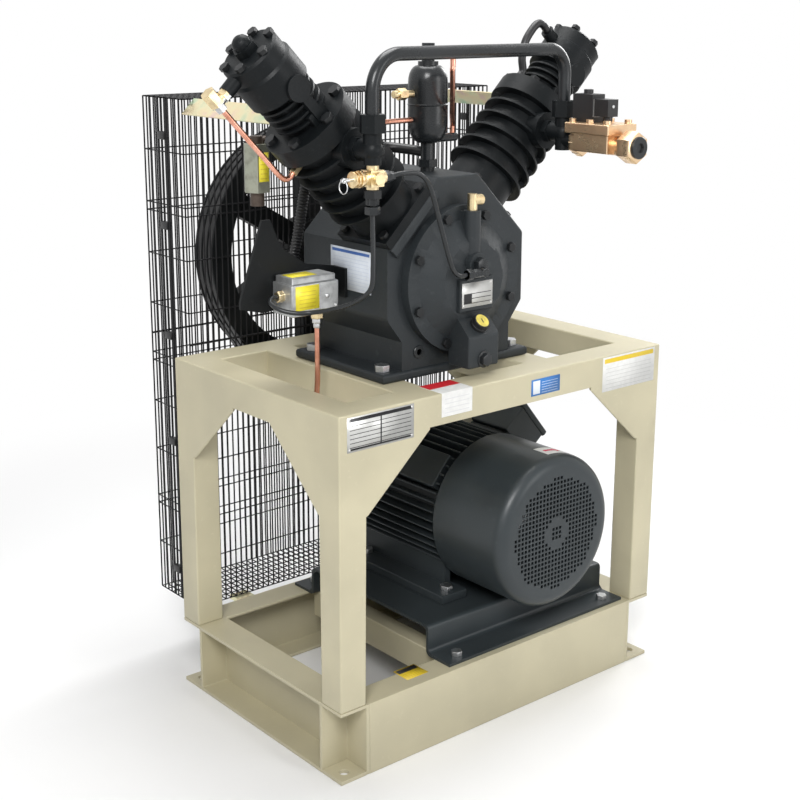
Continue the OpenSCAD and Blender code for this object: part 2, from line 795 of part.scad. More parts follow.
module crankcase() color(pump_col) difference() {
    union() {
        slab_y(case_front, case_rear) translate([crank_x, crank_z]) case_shape();
        span([crank_x - pump_foot_half, case_foot_y0, table_z],
            [crank_x + pump_foot_half, case_foot_y1, table_z + pump_foot_t]);
        for (b = [[-1, left_y], [1, right_y]]) bank(b[0], b[1])
            span([-collar_half, -collar_half, cover_r + 8], [collar_half, collar_half, pad_t]);
    }
    bar_y(crank_x, crank_z, case_front - eps, chamber_rear, chamber_r);
    bar_y(crank_x, crank_z, chamber_rear - eps, case_rear + eps, main_bearing_r - 8);
    bar_y(crank_x, crank_z, main_bearing_y[0], case_rear + eps, main_bearing_r + fit);
    for (b = [[-1, left_y], [1, right_y]]) bank(b[0], b[1]) {
        cylinder(h = pad_t + eps, r = bore_r);
        for (sx = [-1, 1]) for (sy = [-1, 1])
            translate([sx * collar_bolt, sy * collar_bolt, pad_t - 18])
                cylinder(h = 20, r = 5 + fit, $fn = 24);
    }
    at_pump_bolts() translate([0, 0, -eps]) cylinder(h = pump_foot_t + 2 * eps, r = pump_bolt_r + eps);
    at_cover_bolts() translate([0, 0, -cover_t - 20]) cylinder(h = 22, r = cover_bolt_rad + fit, $fn = 24);
}

oil_half = 38;
oil_front = cover_front - 55;
oil_top = table_z + 112;
oil_low = table_z + pump_foot_t + 1;
oil_slope = 34;
cap_r = 17;
cap_h = 16;
cap_stem_r = 11;
cap_stem_l = 14;

// The frame of the oil filler, Z along the lift of its cap
module oil_frame() {
    translate([crank_x, oil_front + oil_slope / 2, oil_top - oil_slope / 2]) rotate([45, 0, 0]) children();
}

name_pad = [82, 62];
name_pad_t = 9;
name_pad_drop = 24;
post_r = 16;
post_y = dome_y - 8 + post_r;
post_top = crank_z + 130;
hub_rise = 32;
port_hub_r = 22;
hub_front = dome_y - 12;
dome_r = 72;
drain_plug_r = 9;
drain_plug_rise = 14;

module front_cover() color(pump_col) difference() {
    union() {
        turned_y(crank_x, crank_z)
            polygon([[0, dome_y], [dome_r, dome_y], [cover_r - 26, cover_front], [cover_r, cover_front],
                [cover_r, case_front], [front_journal_r + fit, case_front],
                [front_journal_r + fit, cover_front + 1.5], [0, cover_front + 1.5]]);
        slab_x(crank_x - oil_half, crank_x + oil_half)
            polygon([[cover_front + eps, oil_low], [oil_front, oil_low], [oil_front, oil_top - oil_slope],
                [oil_front + oil_slope, oil_top], [cover_front + eps, oil_top]]);
        translate([crank_x, post_y, crank_z]) cylinder(h = post_top - crank_z, r = post_r);
        span([crank_x - post_r + 2, post_y, crank_z], [crank_x + post_r - 2, cover_front, post_top - 2]);
        bar_y(crank_x, crank_z + hub_rise, hub_front, cover_front, port_hub_r);
        span([crank_x - name_pad[0] / 2, dome_y - name_pad_t, crank_z - name_pad_drop - name_pad[1] / 2],
            [crank_x + name_pad[0] / 2, dome_y + eps, crank_z - name_pad_drop + name_pad[1] / 2]);
        bar_y(crank_x, oil_low + drain_plug_rise, oil_front - 7, oil_front + eps, drain_plug_r, 6);
    }
    oil_frame() translate([0, 0, -cap_stem_l - 6]) cylinder(h = cap_stem_l + 8, r = cap_stem_r);
    at_cover_bolts() translate([0, 0, -cover_t - eps])
        cylinder(h = cover_t + 2 * eps, r = cover_bolt_rad + fit, $fn = 24);
}

module oil_cap() color(yellow_col) oil_frame() {
    translate([0, 0, -cap_stem_l]) cylinder(h = cap_stem_l + eps, r = cap_stem_r - fit);
    translate([0, 0, fit]) cylinder(h = 6, r = cap_r);
    translate([0, 0, 5]) cylinder(h = cap_h - 5, r = cap_r - 1, $fn = 12);
}

housing_bolt_r = 86;

module at_housing_bolts() {
    for (i = [0 : 5]) translate([crank_x, case_rear + 14, crank_z]) rotate([-90, 0, 0])
        rotate([0, 0, 60 * i]) translate([housing_bolt_r, 0, 0]) children();
}

module rear_bearing_housing() color(pump_col) difference() {
    turned_y(crank_x, crank_z) let (seat = main_bearing_y[1], lip = housing_rear - 6)
        polygon([[main_bearing_r - 7, case_rear], [100, case_rear], [100, case_rear + 14],
            [74, case_rear + 14], [68, housing_rear], [journal_r + 3, housing_rear], [journal_r + 3, lip],
            [main_bearing_r + fit, lip], [main_bearing_r + fit, seat], [main_bearing_r - 7, seat]]);
    at_housing_bolts() translate([0, 0, -14 - eps])
        cylinder(h = 14 + 2 * eps, r = cover_bolt_rad + fit, $fn = 24);
}

module pump_bolts() color(steel_col) {
    at_pump_bolts() translate([0, 0, pump_foot_t]) bolt(pump_bolt_r, 12, pump_foot_t + tube_t);
    at_cover_bolts() bolt(cover_bolt_rad, 8, cover_t + 14);
    at_housing_bolts() bolt(cover_bolt_rad, 8, 14);
}

joint_bolt_r = joint_r - 13;
joint_bolts = 6;
joint_bolt_rad = 6;
head_bolt_r = 46;
head_bolts = 6;
head_bolt_rad = 5;
boss_bore = 9;
rib_angle = 38;
rib_t = 5;
skirt_h = 30;

// Bolts in a ring round the axis
module ring_of(n, r) {
    for (i = [0 : n - 1]) rotate([0, 0, 360 / n * (i + 0.5)]) translate([r, 0, 0]) children();
}

// The places round a lower cylinder of its stiff ribs: behind on the left bank, below on the right one
function rib_places(side) = side < 0 ? [rib_angle, 180 - rib_angle] : [-rib_angle, rib_angle];

module lower_cylinder(side, y) bank(side, y) difference() {
    union() {
        translate([0, 0, pad_t]) cylinder(h = joint_t - pad_t, r = barrel_r);
        span([-collar_half, -collar_half, pad_t], [collar_half, collar_half, pad_t + collar_h]);
        for (i = [0 : lower_fins - 1]) translate([0, 0, first_fin + i * lower_fin_pitch])
            cylinder(h = cyl_fin_t, r = lower_fin_r);
        for (a = rib_places(side)) rotate([0, 0, a])
            span([barrel_r - 4, -rib_t / 2, first_fin + eps],
                [lower_fin_r - 5, rib_t / 2, joint_t - joint_low_h + eps]);
        translate([0, 0, joint_t - joint_low_h]) cylinder(h = joint_low_h, r = joint_r);
        bar_y(0, boss_t, -boss_reach, 0, boss_r);
        bar_y(0, boss_t, 0, boss_reach, boss_r * 0.7);
    }
    translate([0, 0, pad_t - eps]) cylinder(h = joint_t - pad_t + 2 * eps, r = bore_r);
    bar_y(0, boss_t, -boss_reach - eps, 0, boss_bore);
    for (sx = [-1, 1]) for (sy = [-1, 1])
        translate([sx * collar_bolt, sy * collar_bolt, pad_t - eps])
            cylinder(h = collar_h + 2 * eps, r = 5 + fit, $fn = 24);
    translate([0, 0, joint_t - joint_low_h - eps]) ring_of(joint_bolts, joint_bolt_r)
        cylinder(h = joint_low_h + 2 * eps, r = joint_bolt_rad + fit, $fn = 24);
}

module left_lower_cylinder() color(pump_col) lower_cylinder(-1, left_y);
module right_lower_cylinder() color(pump_col) lower_cylinder(1, right_y);

valve_boss_r = 23;
valve_boss_reach = 62;
valve_boss_t = 95;
valve_arm = 9;
valve_block = [19, 24];

module upper_cylinder(side, y) bank(side, y) translate([0, 0, joint_t]) difference() {
    union() {
        cylinder(h = joint_up_h, r = joint_r);
        cylinder(h = upper_l, r = upper_r);
        for (i = [0 : upper_fins - 1]) translate([0, 0, joint_up_h + 12 + i * upper_fin_pitch])
            cylinder(h = upper_fin_t, r = upper_fin_r);
        translate([0, 0, upper_l - skirt_h]) cylinder(h = skirt_h, r = head_r);
        bar_y(0, valve_boss_t, -valve_boss_reach, 0, valve_boss_r);
        span([-valve_arm, -valve_boss_reach + 4, joint_up_h - eps], [valve_arm, -upper_r + 4, valve_boss_t]);
        span([-valve_block[0], -valve_boss_reach + 7, joint_up_h - eps],
            [valve_block[0], -upper_r + 4, joint_up_h + valve_block[1]]);
    }
    translate([0, 0, -eps]) cylinder(h = upper_l + 2 * eps, r = upper_bore);
    translate([0, 0, -eps]) ring_of(joint_bolts, joint_bolt_r)
        cylinder(h = joint_up_h + 2 * eps, r = joint_bolt_rad + fit, $fn = 24);
    translate([0, 0, upper_l - skirt_h + 4]) ring_of(head_bolts, head_bolt_r)
        cylinder(h = skirt_h, r = head_bolt_rad + fit, $fn = 24);
}

module left_upper_cylinder() color(pump_col) upper_cylinder(-1, left_y);
module right_upper_cylinder() color(pump_col) upper_cylinder(1, right_y);

head_step = 20;
lug_r = 13;
lug_reach = 78;
left_lug_t = upper_top + 40;
right_lug_t = upper_top + 14;

// A head; its side lug looks to the side given by lug, along the local X axis
module head(side, y, lug, lug_t) bank(side, y) difference() {
    union() {
        rotate_extrude() polygon([[0, upper_top], [head_r, upper_top], [head_r, upper_top + head_step],
            [head_r - 4, upper_top + head_step + 5], [head_r - 4, head_top - 4], [head_r - 8, head_top],
            [0, head_top]]);
        bar_x(0, lug_t, lug < 0 ? -lug_reach : 0, lug < 0 ? 0 : lug_reach, lug_r);
        if (side < 0) translate([0, 0, head_top - eps]) {
            hex(15, 38);
            translate([0, 0, 15 - eps]) rotate_extrude()
                polygon([[0, 0], [16, 0], [16, 8], [13, 14], [7, 18], [0, 19]]);
        }
        else translate([0, 0, head_top - eps]) cylinder(h = 9, r = 22);
    }
    translate([0, 0, upper_top - eps]) ring_of(head_bolts, head_bolt_r)
        cylinder(h = head_h + 2 * eps, r = head_bolt_rad + fit, $fn = 24);
}

module left_head() color(pump_col) head(-1, left_y, 1, left_lug_t);
module right_head() color(pump_col) head(1, right_y, -1, right_lug_t);

module cylinder_bolts() color(steel_col)
    for (b = [[-1, left_y], [1, right_y]]) bank(b[0], b[1]) {
        for (sx = [-1, 1]) for (sy = [-1, 1])
            translate([sx * collar_bolt, sy * collar_bolt, pad_t + collar_h]) bolt(5, 8, collar_h + 16);
        translate([0, 0, joint_t + joint_up_h]) ring_of(joint_bolts, joint_bolt_r)
            bolt(joint_bolt_rad, 9, joint_up_h + joint_low_h);
        translate([0, 0, head_top]) ring_of(head_bolts, head_bolt_r) bolt(head_bolt_rad, 8, head_h + 20);
    }

nut_flats = 40;
nut_z = 29;
union_h = 31;
elbow_r = 19;

// An elbow from a port boss: forwards, then up into its union nut
module elbow(x, y, drop) {
    face = y + elbow_reach;
    bar_y(x, boss_z, y, face, elbow_r);
    translate([x, y, boss_z - drop]) cylinder(h = drop, r = elbow_r - 4);
    translate([x, y, boss_z]) sphere(r = elbow_r);
    translate([x, y, boss_z]) cylinder(h = nut_z + eps, r = elbow_r - 3);
    bar_y(x, boss_z, face - 12, face, elbow_r + 4, 6);
    difference() {
        translate([x, y, boss_z + nut_z]) hex(union_h, nut_flats);
        translate([x, y, boss_z + nut_z + 12]) cylinder(h = union_h, r = pipe_r + fit);
    }
}

module crossover_elbows() color(pump_col) {
    elbow(crank_x - boss_x, elbow_left_y, socket_drop);
    elbow(crank_x + boss_x, elbow_right_y, valve_drop + 18);
    bar_y(crank_x + boss_x, boss_z - valve_drop, valve_y, elbow_right_y, 13);
}

// A quarter bend of bar: it starts at the origin along +Z and ends along +X
module quarter(bend, r) {
    translate([bend, 0, 0]) rotate([90, 0, 0]) rotate([0, 0, 90])
        rotate_extrude(angle = 90) translate([bend, 0]) circle(r = r, $fn = 32);
}

module crossover_pipe() color(pump_col) {
    from = boss_z + nut_z + 13;
    top = boss_z + pipe_rise;
    across = [2 * boss_x, elbow_right_y - elbow_left_y];
    run = norm(across);
    translate([crank_x - boss_x, elbow_left_y, 0]) rotate([0, 0, atan2(across[1], across[0])]) {
        translate([0, 0, from]) cylinder(h = top - left_bend - from, r = pipe_r, $fn = 32);
        translate([0, 0, top - left_bend]) quarter(left_bend, pipe_r);
        bar_x(0, top, left_bend, run - right_bend, pipe_r, 32);
        translate([run, 0, top - right_bend]) mirror([1, 0, 0]) quarter(right_bend, pipe_r);
        translate([run, 0, from]) cylinder(h = top - right_bend - from, r = pipe_r, $fn = 32);
    }
}

// Points of a smooth line through the route, with a few steps between its points
function along(p, steps) = concat([for (i = [0 : len(p) - 2]) for (k = [0 : steps - 1])
    let (a = p[max(i - 1, 0)], b = p[i], c = p[i + 1], d = p[min(i + 2, len(p) - 1)], t = k / steps)
    b + t * ((c - a) / 2 + t * (a - 2.5 * b + 2 * c - d / 2 + t * (1.5 * b - 1.5 * c + (d - a) / 2)))],
    [p[len(p) - 1]]);
function unit(v) = v / norm(v);
function heads(p, route) = let (n = len(p) - 1, m = len(route) - 1) [for (i = [0 : n])
    i == 0 ? unit(route[1] - route[0]) : i == n ? unit(route[m] - route[m - 1]) : unit(p[i + 1] - p[i - 1])];
function carried(h, n, i = 0) = i == len(h) ? [] :
    let (m = unit(n - (n * h[i]) * h[i])) concat([m], carried(h, m, i + 1));
function first_normal(h) = abs(h[2]) < 0.8 ? cross(h, [0, 0, 1]) : cross(h, [0, 1, 0]);

// A plain tube along a route, square to the route at its ends
module tube(route, r, steps = 3, sides = 8) {
    p = along(route, steps);
    h = heads(p, route);
    n = carried(h, first_normal(h[0]));
    last = len(p) - 1;
    points = [for (i = [0 : last]) let (b = cross(h[i], n[i])) for (k = [0 : sides - 1])
        let (a = 360 * k / sides) p[i] + r * (cos(a) * n[i] + sin(a) * b)];
    walls = [for (i = [0 : last - 1]) for (k = [0 : sides - 1])
        let (m = (k + 1) % sides, a = i * sides)
        each [[a + k, a + sides + k, a + m], [a + m, a + sides + k, a + sides + m]]];
    ends = [for (k = [1 : sides - 2])
        each [[0, k, k + 1], [last * sides, last * sides + k + 1, last * sides + k]]];
    polyhedron(points, concat(walls, ends), convexity = 6);
}

bottle_x = crank_x + 1;
bottle_y = -60;
bottle_z = crank_z + case_top;
bottle_neck = 52;
bottle_dome = 30;
bottle_foot = 38;
bottle_foot_r = 13;
bottle_cap_r = 19;
bottle_tap = [62, 60];
bottle_tap_r = 8;

module pulsation_bottle() color(pump_col) translate([bottle_x, bottle_y, bottle_z]) {
    low = bottle_neck;
    mid = low + bottle_h / 2;
    top = low + bottle_h;
    foot = [for (a = [0 : 15 : 90])
        [bottle_foot_r + (bottle_r - bottle_foot_r) * sin(a), low + bottle_foot * (1 - cos(a))]];
    dome = [for (a = [0 : 15 : 90])
        [bottle_cap_r + (bottle_r - bottle_cap_r) * cos(a), top - bottle_dome * (1 - sin(a))]];
    rotate_extrude() polygon(concat([[0, 0], [bottle_foot_r, 0]], foot,
        [[bottle_r, mid - 2], [bottle_r + 1.5, mid], [bottle_r, mid + 2]], dome,
        [[bottle_cap_r, top + 7], [pipe_r, top + 7], [pipe_r, top + 40], [0, top + 40]]));
    translate([0, 0, 8]) hex(14, 34);
    translate([0, 0, top + 16]) hex(14, 30);
    bar_x(0, bottle_tap[1], 0, bottle_tap[0] + bottle_tap_r, bottle_tap_r);
}

cross_x = crank_x - boss_x;
cross_y = elbow_left_y;
cross_z = boss_z - 46;
cross_r = 11;
cross_arm = 24;
socket_drop = 24;
relief_l = 20;
relief_r = 13;
stem_r = 3.5;
stem_bore_l = 16;
eye_x = cross_x - cross_arm - relief_l - 18;
eye_r = 4.5;
eye_hole = 1.6;
eye_t = 5;
ring_r = 11;
ring_wire = 1;

module brass_cross() color(brass_col) difference() {
    union() {
        translate([cross_x, cross_y, cross_z - 44])
            cylinder(h = boss_z - socket_drop - cross_z + 44, r = cross_r);
        bar_x(cross_y, cross_z, cross_x - cross_arm, cross_x + cross_arm, cross_r);
        span([cross_x - 14, cross_y - 14, cross_z - 14], [cross_x + 14, cross_y + 14, cross_z + 14]);
        bar_y(cross_x, cross_z, cross_y - 22, cross_y, cross_r);
        translate([cross_x, cross_y, cross_z - 34]) hex(14, 28);
        bar_x(cross_y, cross_z, cross_x - cross_arm - relief_l, cross_x - cross_arm + eps, relief_r, 6);
    }
    bar_x(cross_y, cross_z, cross_x - cross_arm - relief_l - eps,
        cross_x - cross_arm - relief_l + stem_bore_l + 6, stem_r + fit);
}

module relief_stem() color(steel_col) difference() {
    union() {
        bar_x(cross_y, cross_z, eye_x + 2, cross_x - cross_arm - relief_l + stem_bore_l, stem_r);
        bar_y(eye_x, cross_z, cross_y - eye_t / 2, cross_y + eye_t / 2, eye_r, 32);
    }
    bar_y(eye_x, cross_z, cross_y - eye_t, cross_y + eye_t, eye_hole, 32);
}

module relief_ring() color(steel_col)
    translate([eye_x, cross_y, cross_z - ring_r]) rotate([0, 90, 0])
        rotate_extrude() translate([ring_r, 0]) circle(r = ring_wire, $fn = 24);

switch_low = [cross_x - 59, -60, crank_z - 50];
switch_high = [cross_x + 45, 0, crank_z + 20];
switch_port_y = -30;
hub_port = [crank_x - 24, dome_y - 27, crank_z + 20];
cross_drop = 44;
pipe_lead = 14;
hub_lead = 20;
switch_port_z = 850;
switch_stub = 12;
switch_lid = [4, 12];
drain_port = [18, 16, 22];
switch_route = [[cross_x, cross_y, cross_z - cross_drop], [cross_x, cross_y, cross_z - cross_drop - pipe_lead],
    [-303, -218, 990],
    [-308, -225, 930], [-312, -222, 886],
    [-318, -180, 856], [-328, -130, 838], [-340, -95, 829], [-365, -78, 828], [-386, -58, 834],
    [-391, -38, 844], [-380, -30, 850], [switch_low[0] - switch_stub, switch_port_y, switch_port_z]];
cover_route = [[cross_x + cross_arm, cross_y, cross_z], [cross_x + cross_arm + pipe_lead, cross_y, cross_z],
    [-240, -221, 1079], [-208, -227, 1076],
    [-185, -229, 1052], [-160, -229, 985], [-134, -227, 915], [-117, -223, 892],
    hub_port - [hub_lead + pipe_lead, 0, 0], hub_port - [hub_lead, 0, 0]];

module control_pipes() color(steel_col) {
    tube(switch_route, control_r);
    tube(cover_route, control_r);
}

module pressure_switch() color(alu_col) {
    inset = switch_lid[0];
    lid_z = switch_high[2] - switch_lid[1];
    span(switch_low, [switch_high[0], switch_high[1], lid_z]);
    span([switch_low[0] + inset, switch_low[1] + inset, lid_z - eps], switch_high - [inset, inset, 0]);
    bar_x(switch_port_y, switch_port_z, switch_low[0] - switch_stub, switch_low[0] + eps, 11, 6);
    translate([cross_x + drain_port[0], switch_port_y, switch_low[2] - drain_port[1]])
        hex(drain_port[1] + eps, drain_port[2]);
}

bracket_t = 6;
bracket_shape = [[0, -35], [0, 20], [-70, 32], [-125, 68], [-147, 120], [-165, 120], [-214, -22], [-214, -36],
    [-165, -48]];

module switch_bracket() color(motor_col) {
    slab_y(0, bracket_t) translate([crank_x - case_half, crank_z]) polygon(bracket_shape);
    span([crank_x - case_half - bracket_t, -34, crank_z - 35],
        [crank_x - case_half, bracket_t, crank_z + 20]);
}

stage_out = 102;
stage_low = 383;
drain_x = cross_x + 18;
drain_z = switch_low[2] - 16;
drain_route = [[drain_x, switch_port_y, drain_z], [drain_x, switch_port_y, 770], [-284, -31, 690],
    [-290, -34, 640],
    [-296, -40, 590], [-300, -60, 560]];
loop_end = [bottle_x + bottle_tap[0], bottle_y, bottle_z + bottle_tap[1] + bottle_tap_r + clear];
loop_route = [[-105, -196, boss_z + pipe_rise - pipe_r - clear], [-105, -196, 1252], [-103, -193, 1246],
    [-60, -146, 1206], [-10, -90, 1161], [16, -63, 1140], loop_end + [0, 0, 10], loop_end];
stage_route = [[stage_out, 0, left_lug_t - 14], [stage_out + 1, 0, 520], [stage_out + 2, 0, 450],
    [stage_out + 3, 0, 403],
    [stage_out, 0, 389], [joint_r + 12, 0, stage_low], [joint_r + 2, 0, stage_low]];

module copper_tubes() color(copper_col) {
    tube(drain_route, copper_r);
    tube(loop_route, copper_r);
    bank(-1, left_y) tube(stage_route, copper_r);
}

valve_tap_z = bottle_z + 144;

module tube_fittings() color(brass_col) {
    bank(-1, left_y) {
        bar_x(0, left_lug_t, lug_reach, lug_reach + 10, 12, 6);
        bar_x(0, left_lug_t, lug_reach + 10 - eps, stage_out, 9);
        translate([stage_out, 0, left_lug_t - 14]) hex(14, 17);
        translate([stage_out, 0, left_lug_t - eps]) hex(28, 23);
        bar_x(0, stage_low, barrel_r + clear, joint_r + 2, 8, 6);
    }
    translate([crank_x, post_y, post_top]) cylinder(h = 30, r = 9);
    bar_x(post_y, post_top + 18, crank_x, crank_x + 22, 10);
    bar_x(bottle_y, valve_tap_z, bottle_x - bottle_r - 46, bottle_x - bottle_r - clear, 7);
    bar_x(bottle_y, valve_tap_z, bottle_x - bottle_r - 36, bottle_x - bottle_r - 18, 11, 6);
    hub_nut = hub_port[0] - hub_lead;
    bar_x(hub_port[1], hub_port[2], hub_nut, hub_nut + pipe_lead, 9, 6);
    bar_x(hub_port[1], hub_port[2], hub_nut + pipe_lead - 1, crank_x, 7);
    bar_y(crank_x, hub_port[2], hub_port[1], dome_y - 12, 7);
}

filter_x = cross_x - 57;
filter_y = 45;
filter_z = boss_z - 5;
filter_flats = 44;

module intake_filter() color(zinc_col) {
    bar_y(cross_x, boss_z, left_y + boss_reach, filter_y, 8);
    bar_x(filter_y, boss_z, filter_x, cross_x + 8, 8);
    translate([filter_x, filter_y, filter_z - 86]) hex(86, filter_flats);
    translate([filter_x, filter_y, filter_z - 6]) cylinder(h = 20, r = 12);
    translate([filter_x, filter_y, filter_z - 111]) cylinder(h = 26, r = 13);
}

hose_bore = 7;
hose_rib = 6;
hose_from = [crank_x - 288 / root2, left_y + barrel_r + clear, crank_z + 288 / root2];
hose_route = [hose_from, hose_from + [0, 24, 0], [-250, 24, 1062], [-256, 38, 1030], [-263, 42, 985],
    [-274, 43, 930], [-288, 41, 885], [-297, 34, 866], [-300, 28, 862], [-300, bracket_t, 862]];

// A hose with its bore, ribbed by wide and narrow rings in turn
module ribbed(p, route, wide, narrow, bore, sides) {
    h = heads(p, route);
    n = carried(h, first_normal(h[0]));
    last = len(p) - 1;
    ring = function(i, r) let (b = cross(h[i], n[i])) [for (k = [0 : sides - 1])
        let (a = 360 * k / sides) p[i] + r * (cos(a) * n[i] + sin(a) * b)];
    points = concat([for (i = [0 : last]) each ring(i, i % 2 == 0 ? narrow : wide)],
        [for (i = [0 : last]) each ring(i, bore)]);
    inside = (last + 1) * sides;
    faces = [for (k = [0 : sides - 1]) let (m = (k + 1) % sides, e = last * sides) each concat(
        [[k, m, inside + k], [m, inside + m, inside + k],
            [e + k, inside + e + k, e + m], [e + m, inside + e + k, inside + e + m]],
        [for (i = [0 : last - 1]) let (a = i * sides, z = a + inside) each
            [[a + k, a + sides + k, a + m], [a + m, a + sides + k, a + sides + m],
            [z + k, z + m, z + sides + k], [z + m, z + sides + m, z + sides + k]]])];
    polyhedron(points, faces, convexity = 8);
}

// Points at an even step along a line of points
function walked(p, d, i = 0, left = 0) = i >= len(p) - 1 ? [] :
    let (seg = norm(p[i + 1] - p[i]), n = floor((seg - left) / d))
    seg < left ? walked(p, d, i + 1, left - seg) :
    concat([for (k = [0 : n]) p[i] + (p[i + 1] - p[i]) * (left + k * d) / seg],
        walked(p, d, i + 1, left + (n + 1) * d - seg));

module breather_hose() color(black_col) {
    line = along(hose_route, 6);
    ribbed(concat(walked(line, hose_rib / 2), [line[len(line) - 1]]), hose_route,
        hose_r, hose_r - 2, hose_bore, 8);
}

head_hose_r = 8;
head_hose_route = [[-lug_reach, 0, right_lug_t], [-lug_reach - 16, 0, right_lug_t],
    [-lug_reach - 29, 0, right_lug_t - 9], [-lug_reach - 32, 0, right_lug_t - 30], [-lug_reach - 28, 0, 490],
    [-lug_reach - 12, 0, 464], [-70, 0, joint_t + joint_up_h + 16],
    [-70, 0, joint_t + joint_up_h]];

module head_hose() color(black_col) bank(1, right_y) tube(head_hose_route, head_hose_r, 3, 10);

valve_drop = 16;
valve_x = crank_x + boss_x;
valve_z = boss_z - valve_drop;
valve_y = elbow_right_y - 35;
valve_end = valve_y - 153;
bonnet = [80, 110, 20];
bonnet_y = valve_y - 5 - bonnet[1];
bonnet_z = valve_z + 20;
plug_r = 15;
plug_deep = 16;

module solenoid_body() color(brass_col) difference() {
    union() {
        bar_y(valve_x, valve_z, valve_end, valve_y, 18);
        bar_y(valve_x, valve_z, valve_end, valve_end + 30, 26, 6);
        bar_y(valve_x, valve_z, valve_y - 18, valve_y, 24, 6);
        span([valve_x - 32, bonnet_y + 8, valve_z - 14], [valve_x + 32, bonnet_y + bonnet[1] - 14, bonnet_z]);
        span([valve_x - bonnet[0] / 2, bonnet_y, bonnet_z],
            [valve_x + bonnet[0] / 2, bonnet_y + bonnet[1], bonnet_z + bonnet[2]]);
        for (sx = [-1, 1]) for (y = [12, bonnet[1] / 2, bonnet[1] - 12])
            translate([valve_x + sx * (bonnet[0] / 2 - 11), bonnet_y + y, bonnet_z + bonnet[2] - eps])
                cylinder(h = 8, r = 7, $fn = 24);
    }
    bar_y(valve_x, valve_z, valve_end - eps, valve_end + plug_deep, plug_r);
}

coil_y = valve_y - 28;
coil = [34, 50, 52];
coil_front = 26;
coil_nut = [9, 9];
coil_plug = [28, 36, 32];
coil_plug_z = 12;
plug_rise = 5;
plug_key = [9, 8];

module solenoid_coil() color(black_col) {
    top = bonnet_z + bonnet[2];
    front = coil_y - coil_front;
    span([valve_x - coil[0] / 2, front, top], [valve_x + coil[0] / 2, front + coil[1], top + coil[2]]);
    translate([valve_x, coil_y, top + coil[2] - eps]) cylinder(h = coil_nut[0], r = coil_nut[1]);
    span([valve_x - coil_plug[0] / 2, front - coil_plug[1], top + coil_plug_z],
        [valve_x + coil_plug[0] / 2, front + eps, top + coil_plug_z + coil_plug[2]]);
    difference() {
        bar_y(valve_x, valve_z, valve_end - plug_rise, valve_end + plug_deep, plug_r - fit);
        bar_y(valve_x, valve_z, valve_end - plug_rise - 1, valve_end + plug_key[1], plug_key[0], 6);
    }
}

guard_h = guard_top - base_h;

// A flat wire net with its border; each cut joins the gaps within reach of a point into one
module net(w, h, cols, rows, cuts = []) {
    px = (w - wire_t) / cols;
    pz = (h - wire_t) / rows;
    ranges = [for (c = cuts) [floor((c[0] - c[2]) / px), floor((c[0] + c[2]) / px),
        floor((c[1] - c[2]) / pz), floor((c[1] + c[2]) / pz)]];
    cut = function(i, j) len([for (r = ranges) if (i >= r[0] && i <= r[1] && j >= r[2] && j <= r[3]) 1]) > 0;
    gaps = concat([for (i = [0 : cols - 1]) for (j = [0 : rows - 1]) if (!cut(i, j)) [i, i, j, j]], ranges);
    corner_list = concat([[0, 0], [w, 0], [w, h], [0, h]], [for (g = gaps)
        let (x0 = g[0] * px + wire_t, x1 = (g[1] + 1) * px, z0 = g[2] * pz + wire_t, z1 = (g[3] + 1) * pz)
        each [[x0, z0], [x0, z1], [x1, z1], [x1, z0]]]);
    polygon(corner_list, [for (k = [0 : len(gaps)]) [4 * k, 4 * k + 1, 4 * k + 2, 4 * k + 3]]);
}

module guard_front() color(black_col)
    slab_y(guard_y, guard_y + wire_t) translate([guard_left, base_h])
        net(guard_l, guard_h, guard_cols, guard_rows, [
            [crank_x - guard_left, crank_z - base_h, journal_r + 12],
            [motor_x - guard_left, motor_z - base_h, shaft_r + 12]]);

module guard_back() color(black_col)
    slab_y(guard_rear - wire_t, guard_rear) translate([guard_left, base_h])
        net(guard_l, guard_h, guard_cols, guard_rows);

module guard_sides() color(black_col)
    for (x = [guard_left, guard_right - wire_t])
        slab_x(x, x + wire_t) translate([guard_y + wire_t, base_h])
            net(guard_w - 2 * wire_t, guard_h, guard_deep, guard_rows);

module guard_caps() color(black_col)
    for (z = [base_h, guard_top - wire_t]) translate([guard_left + wire_t, guard_y + wire_t, z])
        linear_extrude(wire_t)
            net(guard_l - 2 * wire_t, guard_w - 2 * wire_t, ceil(guard_cols / 2), guard_deep);

strap_t = 3;
strap_in = -16;
strap_out = 24;
strap_lap = 55;
strap_hole_r = joint_bolt_rad * 2;
clip_w = 40;
clip_t = 10;
clip_lap = 20;
clip_inset = [90, 130];

module guard_straps() color(zinc_col) {
    for (b = [[-1, left_y], [1, right_y]]) bank(b[0], b[1])
        translate([0, 0, joint_t + joint_up_h]) difference() {
            span([strap_in, strap_lap, 0], [strap_out, guard_y - b[1], strap_t]);
            translate([0, joint_bolt_r, -eps]) cylinder(h = strap_t + 2 * eps, r = strap_hole_r);
        }
    for (x = [guard_left + clip_inset[0], guard_right - clip_inset[1]])
        span([x, half_w, base_h - clip_t], [x + clip_w, guard_y + clip_lap, base_h]);
}

